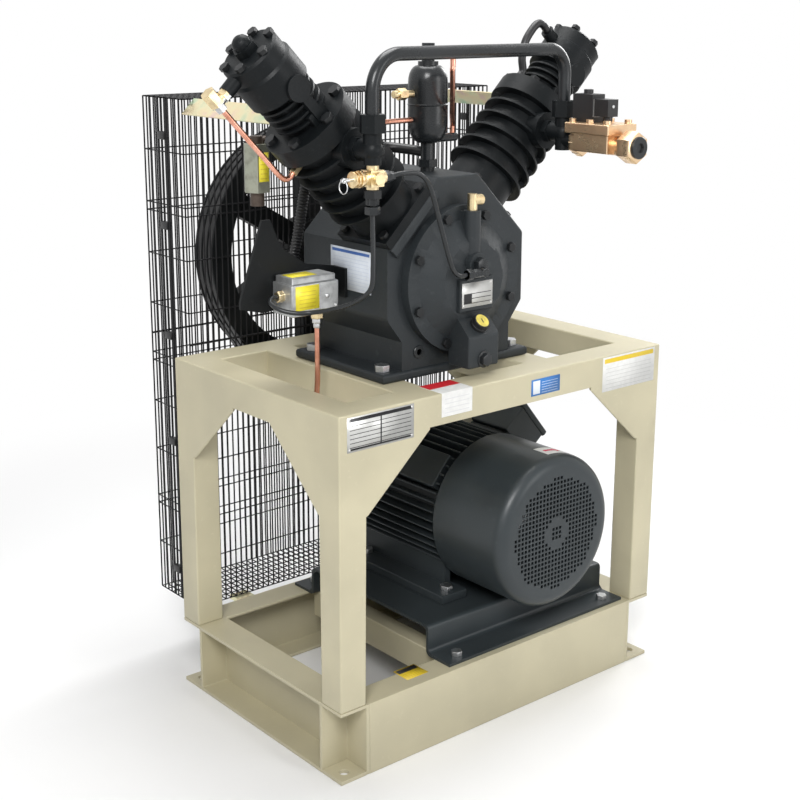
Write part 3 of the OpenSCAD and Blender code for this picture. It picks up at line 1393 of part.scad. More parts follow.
foot_plates();
base_beams();
base_channels();
legs();
table_long_rails();
table_end_rails();
table_cross_rails();
gusset_plates();
motor_base_plate();
motor_frame();
motor_endshields();
fan_cover();
stator_core();
ball_bearings();
terminal_box();
motor_bolts();
motor_rotor();
cooling_fan();
motor_pulley();
v_belts();
flywheel();
crankshaft();
left_rod();
right_rod();
left_piston();
right_piston();
crankcase();
front_cover();
rear_bearing_housing();
oil_cap();
pump_bolts();
left_lower_cylinder();
right_lower_cylinder();
left_upper_cylinder();
right_upper_cylinder();
left_head();
right_head();
cylinder_bolts();
crossover_elbows();
crossover_pipe();
pulsation_bottle();
brass_cross();
relief_stem();
relief_ring();
control_pipes();
pressure_switch();
switch_bracket();
copper_tubes();
tube_fittings();
intake_filter();
breather_hose();
head_hose();
solenoid_body();
solenoid_coil();
guard_front();
guard_back();
guard_sides();
guard_caps();
guard_straps();
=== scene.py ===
# %% [markdown]
# A two-cylinder booster compressor on a beige steel table, with its motor below and a wire guard behind.
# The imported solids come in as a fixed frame. They already have the right sizes and places, so every
# piece made here takes its place from them and only adds the looks.

# %% Load the frame
import json
import math

import bmesh
import bpy
from mathutils import Matrix, Vector


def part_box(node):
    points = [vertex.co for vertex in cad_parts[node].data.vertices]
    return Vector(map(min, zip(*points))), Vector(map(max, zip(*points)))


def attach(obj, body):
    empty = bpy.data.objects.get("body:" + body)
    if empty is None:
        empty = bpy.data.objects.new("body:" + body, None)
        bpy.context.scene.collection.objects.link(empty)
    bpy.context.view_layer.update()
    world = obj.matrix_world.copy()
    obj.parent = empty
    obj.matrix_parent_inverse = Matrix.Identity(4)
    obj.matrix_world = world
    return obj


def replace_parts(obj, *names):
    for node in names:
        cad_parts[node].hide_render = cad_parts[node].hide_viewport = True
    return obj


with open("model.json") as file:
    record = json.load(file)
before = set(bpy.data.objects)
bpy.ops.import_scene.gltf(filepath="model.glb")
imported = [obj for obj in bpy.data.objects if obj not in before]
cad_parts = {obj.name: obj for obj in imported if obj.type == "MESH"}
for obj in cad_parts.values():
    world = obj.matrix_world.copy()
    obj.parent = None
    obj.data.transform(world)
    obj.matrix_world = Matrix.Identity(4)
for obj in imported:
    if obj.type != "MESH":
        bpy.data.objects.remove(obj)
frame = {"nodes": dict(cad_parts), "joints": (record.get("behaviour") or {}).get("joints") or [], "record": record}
scene = bpy.context.scene
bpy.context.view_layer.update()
nodes = frame["nodes"]
body_of = {node: body for body, members in frame["record"]["behaviour"]["bodies"].items() for node in members}
MM = 0.001


def mm(*values):
    """a point given in millimetres, as a vector in metres"""
    return Vector(values) * MM


# %% [markdown]
# The camera repeats the photograph's view: its place and angles come from a perspective fit to the
# straight edges of the table. The photograph was cropped a little off its middle, which is what the
# small vertical shift stands for. A lens with no depth of field keeps the other views sharp too.

# %% Camera
CAMERA_PLACE = mm(-1759, -2026, 1354.7)
CAMERA_YAW = math.radians(40.0)
CAMERA_PITCH = math.radians(13.94)
CAMERA_ROLL = math.radians(0.21)
FOCAL_PX = 1383.85
PICTURE_PX = 800
OFF_MIDDLE_PX = 50


def placed(name, data):
    """a new object, linked into the scene"""
    made = bpy.data.objects.new(name, data)
    scene.collection.objects.link(made)
    return made


camera_data = bpy.data.cameras.new("photo_view")
camera_data.sensor_width = 36
camera_data.lens = camera_data.sensor_width * FOCAL_PX / PICTURE_PX
camera_data.shift_y = -OFF_MIDDLE_PX / PICTURE_PX
camera = placed("photo_view", camera_data)
turn = (Matrix.Rotation(-CAMERA_YAW, 4, "Z")
        @ Matrix.Rotation(math.pi / 2 - CAMERA_PITCH, 4, "X")
        @ Matrix.Rotation(CAMERA_ROLL, 4, "Z"))
camera.matrix_world = Matrix.Translation(CAMERA_PLACE) @ turn
scene.camera = camera
scene.view_settings.view_transform = "Standard"
print("camera lens", round(camera_data.lens, 2))

# %% [markdown]
# Shader graphs are easier to read as sums than as nodes and wires. This class wraps one socket: adding,
# multiplying or subtracting wrapped sockets adds Math nodes, and its node method makes any other node.

# %% A socket that does maths
CLOUD_ROUGH = 0.55


class Wire:
    def __init__(self, tree, socket=None):
        self.tree = tree
        self.socket = socket

    def node(self, kind, settings=None, sockets=None, out=0):
        """a new node with its settings and sockets filled, as the wire from one of its outputs"""
        made = self.tree.nodes.new("ShaderNode" + kind)
        for key, value in (settings or {}).items():
            if key == "stops":
                ramp = made.color_ramp.elements
                while len(ramp) < len(value):
                    ramp.new(0.5)
                for stop, (place, colour) in zip(ramp, value):
                    stop.position = place
                    stop.color = (*colour, 1) if isinstance(colour, tuple) else (colour, colour, colour, 1)
            else:
                setattr(made, key, value)
        for key, value in (sockets or {}).items():
            self.plug(made.inputs[key], value)
        return Wire(self.tree, made.outputs[out])

    def plug(self, target, value):
        if isinstance(value, Wire):
            self.tree.links.new(value.socket, target)
        elif isinstance(value, tuple):
            target.default_value = (*value, 1)
        else:
            target.default_value = value

    def maths(self, operation, first, second):
        return self.node("Math", {"operation": operation}, {0: first, 1: second})

    def __add__(self, other):
        return self.maths("ADD", self, other)

    __radd__ = __add__

    def __sub__(self, other):
        return self.maths("SUBTRACT", self, other)

    def __rsub__(self, other):
        return self.maths("SUBTRACT", other, self)

    def __mul__(self, other):
        return self.maths("MULTIPLY", self, other)

    def __gt__(self, other):
        return self.maths("GREATER_THAN", self, other)

    def __lt__(self, other):
        return self.maths("LESS_THAN", self, other)

    def mix(self, dark, light):
        """dark where this socket is 0 and light where it is 1, for colours"""
        return self.node("Mix", {"data_type": "RGBA"}, {0: self, 6: dark, 7: light}, 2)

    def place(self):
        """the point on the surface, in metres in the frame"""
        return self.node("TexCoord", None, None, "Object")

    def noise(self, size, detail=3.0):
        """cloudy values with spots of about this size in metres"""
        sockets = {"Vector": self.place(), "Scale": 1 / size, "Detail": detail, "Roughness": CLOUD_ROUGH}
        return self.node("TexNoise", None, sockets, "Fac")

    def ramp(self, *stops):
        return self.node("ValToRGB", {"stops": stops}, {"Fac": self}, "Color")

    def axis(self, letter):
        """one coordinate of the point on the surface, X, Y or Z"""
        return self.node("SeparateXYZ", None, {0: self.place()}, letter)

    def bump(self, height, strength, distance):
        sockets = {"Height": height, "Strength": strength, "Distance": distance}
        return self.node("Bump", None, sockets, "Normal")

    def feed(self, **values):
        """numbers, colours or wires for the shader's sockets, by name"""
        for key, value in values.items():
            self.plug(self.tree.nodes["Principled BSDF"].inputs[key.replace("_", " ")], value)


print("shader maths ready")

# %% [markdown]
# Every finish starts from the same shader. This helper sets the values that stay the same all over the
# surface and hands back a wire, from which the others are drawn.

# %% A material to start from
def material(name, **fixed):
    """a material with its fixed values set on the shader, and a wire to start from"""
    made = bpy.data.materials.new(name)
    made.use_nodes = True
    wire = Wire(made.node_tree)
    wire.feed(**fixed)
    return made, wire


print("materials so far:", len(bpy.data.materials))

# %% [markdown]
# Painted steel is never one flat colour. Enamel pools and thins over the metal, so its tone drifts over
# a hand's width, and its skin has the fine dimples called orange peel. Where a paint asks for it, its colour
# also turns darker towards the floor.
# One function makes every paint: the castings get a coarser skin than the welded tubes.

# %% Paints
DARKENING_FOOT, DARKENING_TOP = 0.02, 0.3
THIN, DARKENED = 0.86, 0.55


def paint(name, colour, worn, rough, skin, skin_depth, drift=0.12, floor_darkening=0.0, gloss=0.5):
    """a colour with worn specks, a skin of dimples of a size and depth, and darker towards the floor by a share"""
    made, wire = material(name, Specular_IOR_Level=gloss)
    cloud = wire.noise(drift)
    speck = wire.noise(skin * 6, 4.0)
    tone = cloud.ramp((0.35, tuple(c * THIN for c in colour)), (0.65, colour))
    tone = speck.ramp((0.62, 0.0), (0.78, 0.35)).mix(tone, worn)
    # darker towards the floor: below a height the colour is mixed towards a darker copy of itself
    if floor_darkening:
        height = wire.axis("Z") + cloud * 0.1
        low = wire.node("MapRange", None, {"Value": height, 1: DARKENING_FOOT, 2: DARKENING_TOP, 3: floor_darkening, 4: 0.0})
        tone = low.mix(tone, tuple(c * DARKENED for c in colour))
    grain = wire.noise(skin, 2.0)
    wire.feed(Base_Color=tone, Roughness=rough + (cloud - 0.5) * 0.25 + (grain - 0.5) * 0.12,
              Normal=wire.bump(grain + speck * 0.6, 0.6, skin_depth))
    return made


FRAME_BEIGE = (0.59, 0.54, 0.375)
PUMP_GREY = (0.021, 0.0255, 0.0285)
CYLINDER_BLACK = (0.0068, 0.0084, 0.0094)
FLYWHEEL_BLACK = (0.006, 0.007, 0.0075)
MOTOR_GREY = (0.034, 0.042, 0.046)
PIPE_BLACK = (0.0155, 0.0178, 0.0195)
WIRE_BLACK = (0.006, 0.006, 0.007)
PLASTIC_BLACK = (0.016, 0.016, 0.017)
finishes = {
    "frame_paint": paint("beige_enamel", FRAME_BEIGE, (0.66, 0.61, 0.45), 0.42, 0.0016, 0.00006, 0.2, 0.35),
    "pump_paint": paint("charcoal_casting", PUMP_GREY, (0.075, 0.081, 0.084), 0.5, 0.0030, 0.00065, gloss=0.35),
    "cylinder_paint": paint("black_casting", CYLINDER_BLACK, (0.045, 0.050, 0.053), 0.42, 0.0030, 0.00040,
                            gloss=0.16),
    "flywheel_paint": paint("flywheel_black", FLYWHEEL_BLACK, (0.03, 0.032, 0.033), 0.5, 0.0030, 0.0002,
                            gloss=0.2),
    "motor_paint": paint("slate_enamel", MOTOR_GREY, (0.058, 0.064, 0.069), 0.34, 0.0022, 0.00010, gloss=0.35),
    "black_pipe": paint("black_enamel", PIPE_BLACK, (0.046, 0.051, 0.054), 0.28, 0.0018, 0.00008, gloss=0.4),
    "black_wire": paint("black_dip", WIRE_BLACK, (0.020, 0.020, 0.022), 0.48, 0.0012, 0.00005, gloss=0.25),
    "cap_yellow": paint("yellow_plastic", (0.72, 0.52, 0.03), (0.80, 0.62, 0.08), 0.35, 0.0008, 0.00003, 0.02),
    "black_plastic": paint("black_plastic", PLASTIC_BLACK, (0.030, 0.030, 0.032), 0.42, 0.0007, 0.00005),
    "rubber": paint("black_rubber", (0.010, 0.010, 0.011), (0.028, 0.027, 0.026), 0.38, 0.0012, 0.00008),
}
print("paints:", len(finishes))

# %% [markdown]
# Bare metals: brass and copper have a fine grain and patches of tarnish, cast iron is grey and coarser,
# zinc plating is bright, and its yellow chromate dip shifts from gold to green and rose in patches.

# %% Metals
def metal(name, colour, tarnish, rough, grain=0.0012, depth=0.00004, patch=0.02):
    """a bare metal with tarnish in patches of a size, and a fine grain of a size and depth"""
    made, wire = material(name, Metallic=1.0)
    cloud = wire.noise(patch)
    fine = wire.noise(grain, 2.0)
    wire.feed(Base_Color=cloud.ramp((0.38, tarnish), (0.58, colour)),
              Roughness=rough + (0.5 - cloud) * 0.35 + (fine - 0.5) * 0.2, Normal=wire.bump(fine, 0.5, depth))
    return made


def chromate(name):
    """zinc with the coloured sheen of a yellow chromate dip"""
    made, wire = material(name, Metallic=0.85)
    cloud = wire.noise(0.045, 2.0)
    tint = cloud.ramp((0.30, (0.50, 0.66, 0.46)), (0.45, (0.80, 0.76, 0.50)),
                      (0.58, (0.84, 0.72, 0.46)), (0.72, (0.78, 0.58, 0.52)))
    wire.feed(Base_Color=tint, Roughness=0.34 + (wire.noise(0.003) - 0.5) * 0.3)
    return made


finishes.update({
    "steel": metal("zinc_plated_steel", (0.66, 0.67, 0.68), (0.46, 0.46, 0.45), 0.34),
    "aluminium": metal("cast_aluminium", (0.72, 0.72, 0.71), (0.58, 0.58, 0.57), 0.46, 0.0010, 0.00010),
    "brass": metal("brass", (0.84, 0.68, 0.41), (0.60, 0.39, 0.18), 0.32),
    "bronze": metal("cast_bronze", (0.82, 0.60, 0.38), (0.70, 0.48, 0.30), 0.32, 0.0016, 0.00012, 0.06),
    "copper": metal("copper", (0.82, 0.41, 0.30), (0.60, 0.27, 0.18), 0.30, 0.0010, 0.00003, 0.03),
    "cast_iron": metal("cast_iron", (0.28, 0.28, 0.28), (0.15, 0.14, 0.13), 0.50, 0.0020, 0.00020),
    "windings": metal("copper_windings", (0.62, 0.26, 0.12), (0.42, 0.16, 0.07), 0.42),
    "zinc_yellow": chromate("yellow_chromate"),
})
print("finishes:", sorted(finishes))

# %% [markdown]
# The photograph has a white ground with no visible room. A pale floor catches a soft contact shadow, and
# further out it turns into plain white, so no horizon shows.

# %% Floor
FLOOR_HALF = 9.0
FADE_START = 1.15
FADE_END = 2.1
FLOOR_DROP = 0.5 * MM
WHITE = (1.0, 1.0, 1.0)


def mesh_of(name, bm):
    """a bmesh made into a mesh"""
    data = bpy.data.meshes.new(name)
    bm.to_mesh(data)
    bm.free()
    return data


def seen_rays(wire):
    """1 for what the camera sees, straight or in a reflection, and 0 for light on the object"""
    kinds = ("Camera", "Glossy", "Transmission")
    straight, mirrored, through = (wire.node("LightPath", None, None, "Is " + kind + " Ray") for kind in kinds)
    return (straight + mirrored + through) > 0.5


bm = bmesh.new()
bmesh.ops.create_grid(bm, x_segments=1, y_segments=1, size=FLOOR_HALF)
floor = placed("floor", mesh_of("floor", bm))
floor.location.z = -FLOOR_DROP
floor_paint, wire = material("pale_floor", Roughness=0.9)
wire.feed(Base_Color=wire.noise(0.8).ramp((0.3, 0.88), (0.7, 0.9)))
reach = wire.node("VectorMath", {"operation": "LENGTH"}, {0: wire.place()}, "Value")
fade = wire.node("MapRange", {"interpolation_type": "SMOOTHSTEP"}, {0: reach, 1: FADE_START, 2: FADE_END})
glow = wire.node("Emission", None, {"Color": WHITE, "Strength": 1.0})
painted = Wire(wire.tree, wire.tree.nodes["Principled BSDF"].outputs[0])
ground = wire.node("MixShader", None, {0: fade * seen_rays(wire), 1: painted, 2: glow})
wire.plug(wire.tree.nodes["Material Output"].inputs["Surface"], ground)
floor.data.materials.append(floor_paint)
print("floor laid")

# %% [markdown]
# The world looks white to the camera and to reflections while lighting the object only gently, since light
# from all sides would wash out the dark castings. Large lamps give broad soft highlights.

# %% World and lamps
AMBIENT = 0.23
world = bpy.data.worlds.new("studio")
scene.world = world
world.use_nodes = True
wire = Wire(world.node_tree)
background = world.node_tree.nodes["Background"]
wire.plug(background.inputs["Strength"], AMBIENT + seen_rays(wire) * (1.0 - AMBIENT))
wire.plug(background.inputs["Color"], WHITE)


def lamp(name, place, aim, size, power):
    """a rectangular area lamp, its size in metres and its power in watts"""
    data = bpy.data.lights.new(name, "AREA")
    data.shape = "RECTANGLE"
    data.size, data.size_y = size
    data.energy = power
    turned = (aim - place).to_track_quat("-Z", "Y").to_matrix().to_4x4()
    placed(name, data).matrix_world = Matrix.Translation(place) @ turned


MIDDLE = mm(0, 0, 650)
lamp("key", Vector((-2.5, -2.4, 3.0)), MIDDLE, (1.4, 1.4), 120)
lamp("front", Vector((1.4, -3.6, 1.6)), MIDDLE, (1.4, 2.0), 32)
lamp("top", Vector((0.3, 0.4, 3.4)), MIDDLE, (1.8, 1.8), 70)
lamp("side", Vector((3.4, 0.8, 2.2)), MIDDLE, (1.6, 1.6), 60)
print("lamps:", len(bpy.data.lights))

# %% [markdown]
# A piece is one mesh with one finish. The record says which body each solid moves with and which material
# it stands for. Every piece is told both as it is linked, so nothing stays behind when the machine moves.

# %% Pieces that ride on bodies
slot_of = {part["node"]: part["material_slot"] for part in frame["record"]["subparts"]}
CORNER = math.radians(32)


def link(name, data, finish, body):
    """a finished piece: one mesh, one finish, riding on a body"""
    data.materials.clear()
    data.materials.append(finishes[finish])
    data.shade_smooth()
    data.set_sharp_from_angle(angle=CORNER)
    piece = placed(name, data)
    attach(piece, body)
    return piece


def to_piece(name, bm, finish, body="frame", outward=True):
    """a bmesh made into a piece, with its normals out and its round faces shaded smooth"""
    if outward:
        bmesh.ops.recalc_face_normals(bm, faces=bm.faces)
    return link(name, mesh_of(name, bm), finish, body)


print("material slots:", len(set(slot_of.values())))

# %% [markdown]
# No real casting, plate or bolt has a razor edge. Each solid that shows is copied, its loose triangles
# are welded and flat regions joined into whole faces, and a narrow bevel rounds every edge so that it
# catches a line of light. Weighted normals keep the large faces flat. The copy takes the solid's place.

# %% Soft edges
FLAT = math.radians(0.6)
WELD = 0.02 * MM


def welded(mesh, whole=True):
    """a bmesh with the mesh's points welded, and its flat regions joined if it is to be whole"""
    bm = bmesh.new()
    bm.from_mesh(mesh)
    bmesh.ops.remove_doubles(bm, verts=bm.verts, dist=WELD)
    if whole:
        bmesh.ops.dissolve_limit(bm, angle_limit=FLAT, verts=bm.verts[:], edges=bm.edges[:])
    return bm


def soften(piece, width):
    """a live bevel on the corner edges, with the flat faces kept flat"""
    edges = piece.modifiers.new("edges", "BEVEL")
    edges.width = width * MM
    edges.segments = 2
    edges.limit_method = "ANGLE"
    edges.angle_limit = CORNER
    edges.use_clamp_overlap = True
    even = piece.modifiers.new("even", "WEIGHTED_NORMAL")
    even.keep_sharp = True


def bevel(bm, edges, width, segments=2):
    """rounds some edges of a bmesh, by a width in metres"""
    bmesh.ops.bevel(bm, geom=edges, offset=width, affect="EDGES", segments=segments, profile=0.5, material=-1)


def round_long_edges(bm, radius, shortest, split=True):
    """rounds the outer edges that are long and have room for it, as on tube corners and cast blocks"""
    if split:
        bmesh.ops.triangulate(bm, faces=[face for face in bm.faces if len(face.verts) > 4])
    long_edges = [edge for edge in bm.edges if len(edge.link_faces) == 2 and edge.is_convex
                  and edge.calc_length() > shortest * MM and edge.calc_face_angle(0) > CORNER]
    roomy = [edge for edge in long_edges
             if all(other in long_edges or other.calc_face_angle(0) < FLAT or other.calc_length() > radius * MM
                    for vert in edge.verts for other in vert.link_edges)]
    bevel(bm, roomy, radius * MM, 4)


def rounded(node, width, finish=None, whole=True, cast=None):
    """a bevelled copy in a solid's place; cast is a larger radius for its long edges and their least length"""
    bm = welded(nodes[node].data, whole)
    if cast:
        round_long_edges(bm, *cast)
    piece = to_piece(node + "_skin", bm, finish or slot_of[node], body_of[node], False)
    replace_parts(piece, node)
    soften(piece, width)


print("edge tools ready")

# %% [markdown]
# Sand castings have the softest edges. The case, the covers and the boxes get a larger radius on their long
# edges, as moulds and presses leave it. A solid without a copy just takes the finish of its material.

# %% Rounded copies of the solids
CAST_EDGE, CASE_EDGE, PLATE_EDGE = 1.5, 1.2, 0.9
for name in ("left_lower_cylinder", "right_lower_cylinder", "left_upper_cylinder", "right_upper_cylinder",
             "left_head", "right_head", "crossover_elbows"):
    rounded(name, CAST_EDGE, "cylinder_paint")
for name, radius, shortest in (("crankcase", 6.0, 60), ("front_cover", 4.0, 30), ("terminal_box", 4.0, 40),
                               ("solenoid_body", 2.5, 20), ("rear_bearing_housing", 3.0, 40),
                               ("motor_frame", 2.0, 60)):
    rounded(name, CASE_EDGE, "bronze" if name == "solenoid_body" else None, cast=(radius, shortest))
rounded("switch_bracket", PLATE_EDGE, "flywheel_paint")
for name in ("pulsation_bottle", "crossover_pipe"):
    rounded(name, PLATE_EDGE, "black_pipe")
for name in ("foot_plates", "motor_endshields", "guard_straps", "relief_stem", "motor_bolts"):
    rounded(name, PLATE_EDGE)
for name, solid in nodes.items():
    solid.data.materials.clear()
    solid.data.materials.append(finishes[slot_of[name]])

# %% [markdown]
# The table is welded from square tube and plate, ground flush and painted, so hardly a joint shows. The
# solids meet face to face there. A Boolean union makes them one skin, its flat regions are joined, and
# one bevel rounds only the edges that are still corners.

# %% Welded table
FRAME_EDGE = 3.5
FRAME_LONG = 40
WELD_EDGE = 0.6
BASE_EDGE = 2.0


def evaluated(piece):
    """the mesh of an object with its modifiers applied"""
    return bpy.data.meshes.new_from_object(piece.evaluated_get(bpy.context.evaluated_depsgraph_get()))


def helper(name, bm):
    """a bmesh made into a plain object, for a Boolean"""
    return placed(name, mesh_of(name, bm))


def boolean(piece, operation, other):
    """a live Boolean of one object with another"""
    made = piece.modifiers.new("boolean", "BOOLEAN")
    made.operation = operation
    made.solver = "EXACT"
    made.object = other


TABLE = ["legs", "table_long_rails", "table_end_rails", "table_cross_rails", "gusset_plates"]
first, *rest = [helper(node + "_copy", welded(nodes[node].data)) for node in TABLE]
for other in rest:
    boolean(first, "UNION", other)
bm = welded(evaluated(first))
for used in [first] + rest:
    bpy.data.objects.remove(used)
round_long_edges(bm, FRAME_EDGE, FRAME_LONG, False)
table = to_piece("welded_table", bm, "frame_paint", outward=False)
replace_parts(table, *TABLE)
soften(table, WELD_EDGE)
for name in ("base_beams", "base_channels"):
    rounded(name, BASE_EDGE, whole=False)
print("table faces:", len(table.data.polygons))

# %% [markdown]
# The belt guard is a cage of welded wire, dipped black: uprights every 13 mm, cross wires every hand's
# width, some of them doubled, and a closer net in the top and the floor. A wire is a six-sided rod, which
# is round enough at this thickness, and a panel is a mesh of such rods.

# %% Wires and nets
UPRIGHT_PITCH = 13.4 * MM
UPRIGHT_R = 1.55 * MM
CROSS_PITCH = 101 * MM
CROSS_R = 1.35 * MM
PAIR_STEP = 17 * MM
HOLE_SIDES = 20


def rod(bm, start, end, r, sides=6):
    """a straight bar between two points, round or with few sides"""
    along = end - start
    place = Matrix.Translation((start + end) / 2) @ along.to_track_quat("Z", "Y").to_matrix().to_4x4()
    bmesh.ops.create_cone(bm, cap_ends=True, segments=sides, radius1=r, radius2=r, depth=along.length,
                          matrix=place)


def steps(low, high, pitch):
    """places from low to high in even steps of about a pitch"""
    count = max(1, round((high - low) / pitch))
    return [low + (high - low) * i / count for i in range(count + 1)]


def left_between(length, at, holes):
    """the stretches of a wire that round holes leave, from (place along it, place beside it, radius) each"""
    cuts = []
    for along, beside, r in holes:
        if abs(at - beside) < r:
            half = math.sqrt(r * r - (at - beside) ** 2)
            cuts.append((along - half, along + half))
    edges = [0] + [edge for cut in sorted(cuts) for edge in cut] + [length]
    return zip(edges[::2], edges[1::2])


def panel(bm, corner, across, rising, holes=()):
    """uprights and cross wires over a rectangle, kept out of round holes (place across, up, radius)"""
    side, rise = across.length, rising.length
    u, v = across.normalized(), rising.normalized()
    for a in steps(0, side, UPRIGHT_PITCH):
        for low, high in left_between(rise, a, [(h, c, r) for c, h, r in holes]):
            rod(bm, corner + u * a + v * low, corner + u * a + v * high, UPRIGHT_R)
    for i, b in enumerate(steps(0, rise, CROSS_PITCH)):
        for height in ([b, b - PAIR_STEP] if i % 3 == 2 else [b]):
            for low, high in left_between(side, height, holes):
                rod(bm, corner + u * low + v * height, corner + u * high + v * height, CROSS_R)
    for c, h, r in holes:
        for k in range(HOLE_SIDES):
            ends = [corner + u * (c + r * math.cos(t)) + v * (h + r * math.sin(t))
                    for t in (math.tau * k / HOLE_SIDES, math.tau * (k + 1) / HOLE_SIDES)]
            rod(bm, ends[0], ends[1], UPRIGHT_R)


print("uprights to a metre:", round(1 / UPRIGHT_PITCH))

# %% [markdown]
# The solids of the guard give its box, and the wires stay just inside it. The shafts of the pump and of the
# motor pass through the front panel, so it has a round hole on the axis of each.

# %% Guard panels
INSET = mm(1.8, 1.8, 1.8)
NET_PITCH = 20 * MM
SHAFT_HOLE_R = 52 * MM
cage_lo, front_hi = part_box("guard_front")
cage_hi = Vector((front_hi.x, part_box("guard_back")[1].y, front_hi.z))
face = cage_hi - cage_lo - 2 * INSET
low_corner = cage_lo + INSET
right, back, up = Vector((1, 0, 0)), Vector((0, 1, 0)), Vector((0, 0, 1))
joint_place = {joint["name"]: Vector(joint["pos_m"]) for joint in frame["joints"] if "pos_m" in joint}
crank_axis = joint_place["crank_spin"]
motor_axis = joint_place["motor_spin"]
shaft_holes = [(p.x - low_corner.x, p.z - low_corner.z, SHAFT_HOLE_R) for p in (crank_axis, motor_axis)]
for name, depth, holes in (("guard_front", 0, shaft_holes), ("guard_back", face.y, [])):
    bm = bmesh.new()
    panel(bm, low_corner + back * depth, right * face.x, up * face.z, holes)
    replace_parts(to_piece(name + "_wires", bm, "black_wire"), name)
bm = bmesh.new()
for x in (0, face.x):
    panel(bm, low_corner + right * x, back * face.y, up * face.z)
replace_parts(to_piece("guard_side_wires", bm, "black_wire"), "guard_sides")
bm = bmesh.new()
for z in (0, face.z):
    corner = low_corner + up * z
    for a in steps(0, face.x, UPRIGHT_PITCH):
        rod(bm, corner + right * a, corner + right * a + back * face.y, CROSS_R)
    for b in steps(0, face.y, NET_PITCH):
        rod(bm, corner + back * b, corner + right * face.x + back * b, CROSS_R)
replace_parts(to_piece("guard_cap_wires", bm, "black_wire"), "guard_caps")
print("guard wires:", [round(size, 3) for size in face])

# %% [markdown]
# The cage comes in halves so that the belts can be changed. Where two halves meet, each has a thicker
# border wire, and small black clamps hold the two together.

# %% Border wires and clamps
SEAM_HEIGHT = 560 * MM
SEAM_R = 2.2 * MM
SEAM_SHARES = (0.42, 0.62)
CLAMP = mm(12, 26, 16)
CLAMP_EDGE = 3 * MM
CLAMP_SHARE = 0.52
CLAMP_HEIGHTS = (0.06, 0.33, 0.545, 0.76, 0.93)


def in_cage(u, v, w):
    """a point of the cage, given by its shares of the width, the depth and the height"""
    return low_corner + Vector((u * face.x, v * face.y, w * face.z))


def block(bm, centre, size):
    """a box round a point"""
    bmesh.ops.create_cube(bm, size=1, matrix=Matrix.Translation(centre) @ Matrix.Diagonal((*size, 1)))


bm = bmesh.new()
for side in (0, 1):
    for share in SEAM_SHARES:
        rod(bm, in_cage(side, share, 0), in_cage(side, share, 1), SEAM_R)
for side in (0, 1):
    rod(bm, in_cage(0, side, SEAM_HEIGHT / face.z), in_cage(1, side, SEAM_HEIGHT / face.z), SEAM_R)
to_piece("guard_border_wires", bm, "black_wire")
bm = bmesh.new()
for side in (0, 1):
    for share in CLAMP_HEIGHTS:
        block(bm, in_cage(side, CLAMP_SHARE, share), CLAMP)
bevel(bm, bm.edges[:], CLAMP_EDGE)
to_piece("guard_clamps", bm, "black_plastic")
print("guard borders made")

# %% [markdown]
# The fan cover is spun from sheet: a drum with a wide rolled shoulder and a flat face. It is made the same
# way here, from a profile that turns once round the motor's axis.

# %% Fan cover
SHEET = 2.5 * MM
SHOULDER = 25 * MM
ARC_POINTS = 7
drum_lo, drum_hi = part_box("fan_cover")
drum_r = (drum_hi.x - drum_lo.x) / 2
drum_mid = Vector((motor_axis.x, 0, motor_axis.z))


def spun(points, centre, turns=96):
    """a closed profile of (radius, height) points, spun round an axis that is parallel to Y"""
    bm = bmesh.new()
    verts = [bm.verts.new(centre + right * r + back * h) for r, h in points]
    edges = [bm.edges.new((verts[i - 1], verts[i])) for i in range(len(verts))]
    bmesh.ops.spin(bm, geom=verts + edges, cent=centre, axis=back, angle=math.tau, steps=turns, use_merge=True)
    bmesh.ops.remove_doubles(bm, verts=bm.verts, dist=WELD)
    bmesh.ops.dissolve_degenerate(bm, dist=WELD, edges=bm.edges)
    bmesh.ops.recalc_face_normals(bm, faces=bm.faces)
    return bm


def arc(centre_r, centre_h, r, start, end):
    """points on an arc from one angle to another, in degrees"""
    turns = [math.radians(start + (end - start) * i / (ARC_POINTS - 1)) for i in range(ARC_POINTS)]
    return [(centre_r + r * math.cos(t), centre_h + r * math.sin(t)) for t in turns]


face_y, rim_y = drum_lo.y, drum_hi.y
outer = [(0, face_y)] + arc(drum_r - SHOULDER, face_y + SHOULDER, SHOULDER, -90, 0) + [(drum_r, rim_y)]
inner = ([(drum_r - SHEET, rim_y)]
         + arc(drum_r - SHOULDER, face_y + SHOULDER, SHOULDER - SHEET, 0, -90) + [(0, face_y + SHEET)])
drum = helper("drum", spun(outer + inner, drum_mid))
print("drum radius:", round(drum_r, 4))

# %% [markdown]
# Its face is punched with hundreds of small square holes round a plain hub, which has a window of its own.
# One Boolean cuts them all, as the punch would do.

# %% Punched holes
PUNCH_PITCH = 9.3 * MM
PUNCH = mm(6.2, 20, 6.2)
PUNCHED_R = 112 * MM
HUB_R = 31 * MM
bm = bmesh.new()
reach_n = int(PUNCHED_R / PUNCH_PITCH)
for i in range(-reach_n, reach_n + 1):
    for j in range(-reach_n, reach_n + 1):
        away = math.hypot(i, j) * PUNCH_PITCH
        window = max(abs(i), abs(j)) <= 1
        if (HUB_R < away < PUNCHED_R) or window:
            block(bm, drum_mid + Vector((i * PUNCH_PITCH, face_y, j * PUNCH_PITCH)), PUNCH)
punches = helper("punches", bm)
boolean(drum, "DIFFERENCE", punches)
cover = link("fan_cover_drum", evaluated(drum), "motor_paint", "frame")
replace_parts(cover, "fan_cover")
for used in (drum, punches):
    bpy.data.objects.remove(used)
print("fan cover faces:", len(cover.data.polygons))

# %% [markdown]
# The motor stands on a plate that was pressed to a hat shape, so its long bends are round, not sharp. The
# copy of the solid is bevelled along those bends alone, and the plate's other edges only a little.

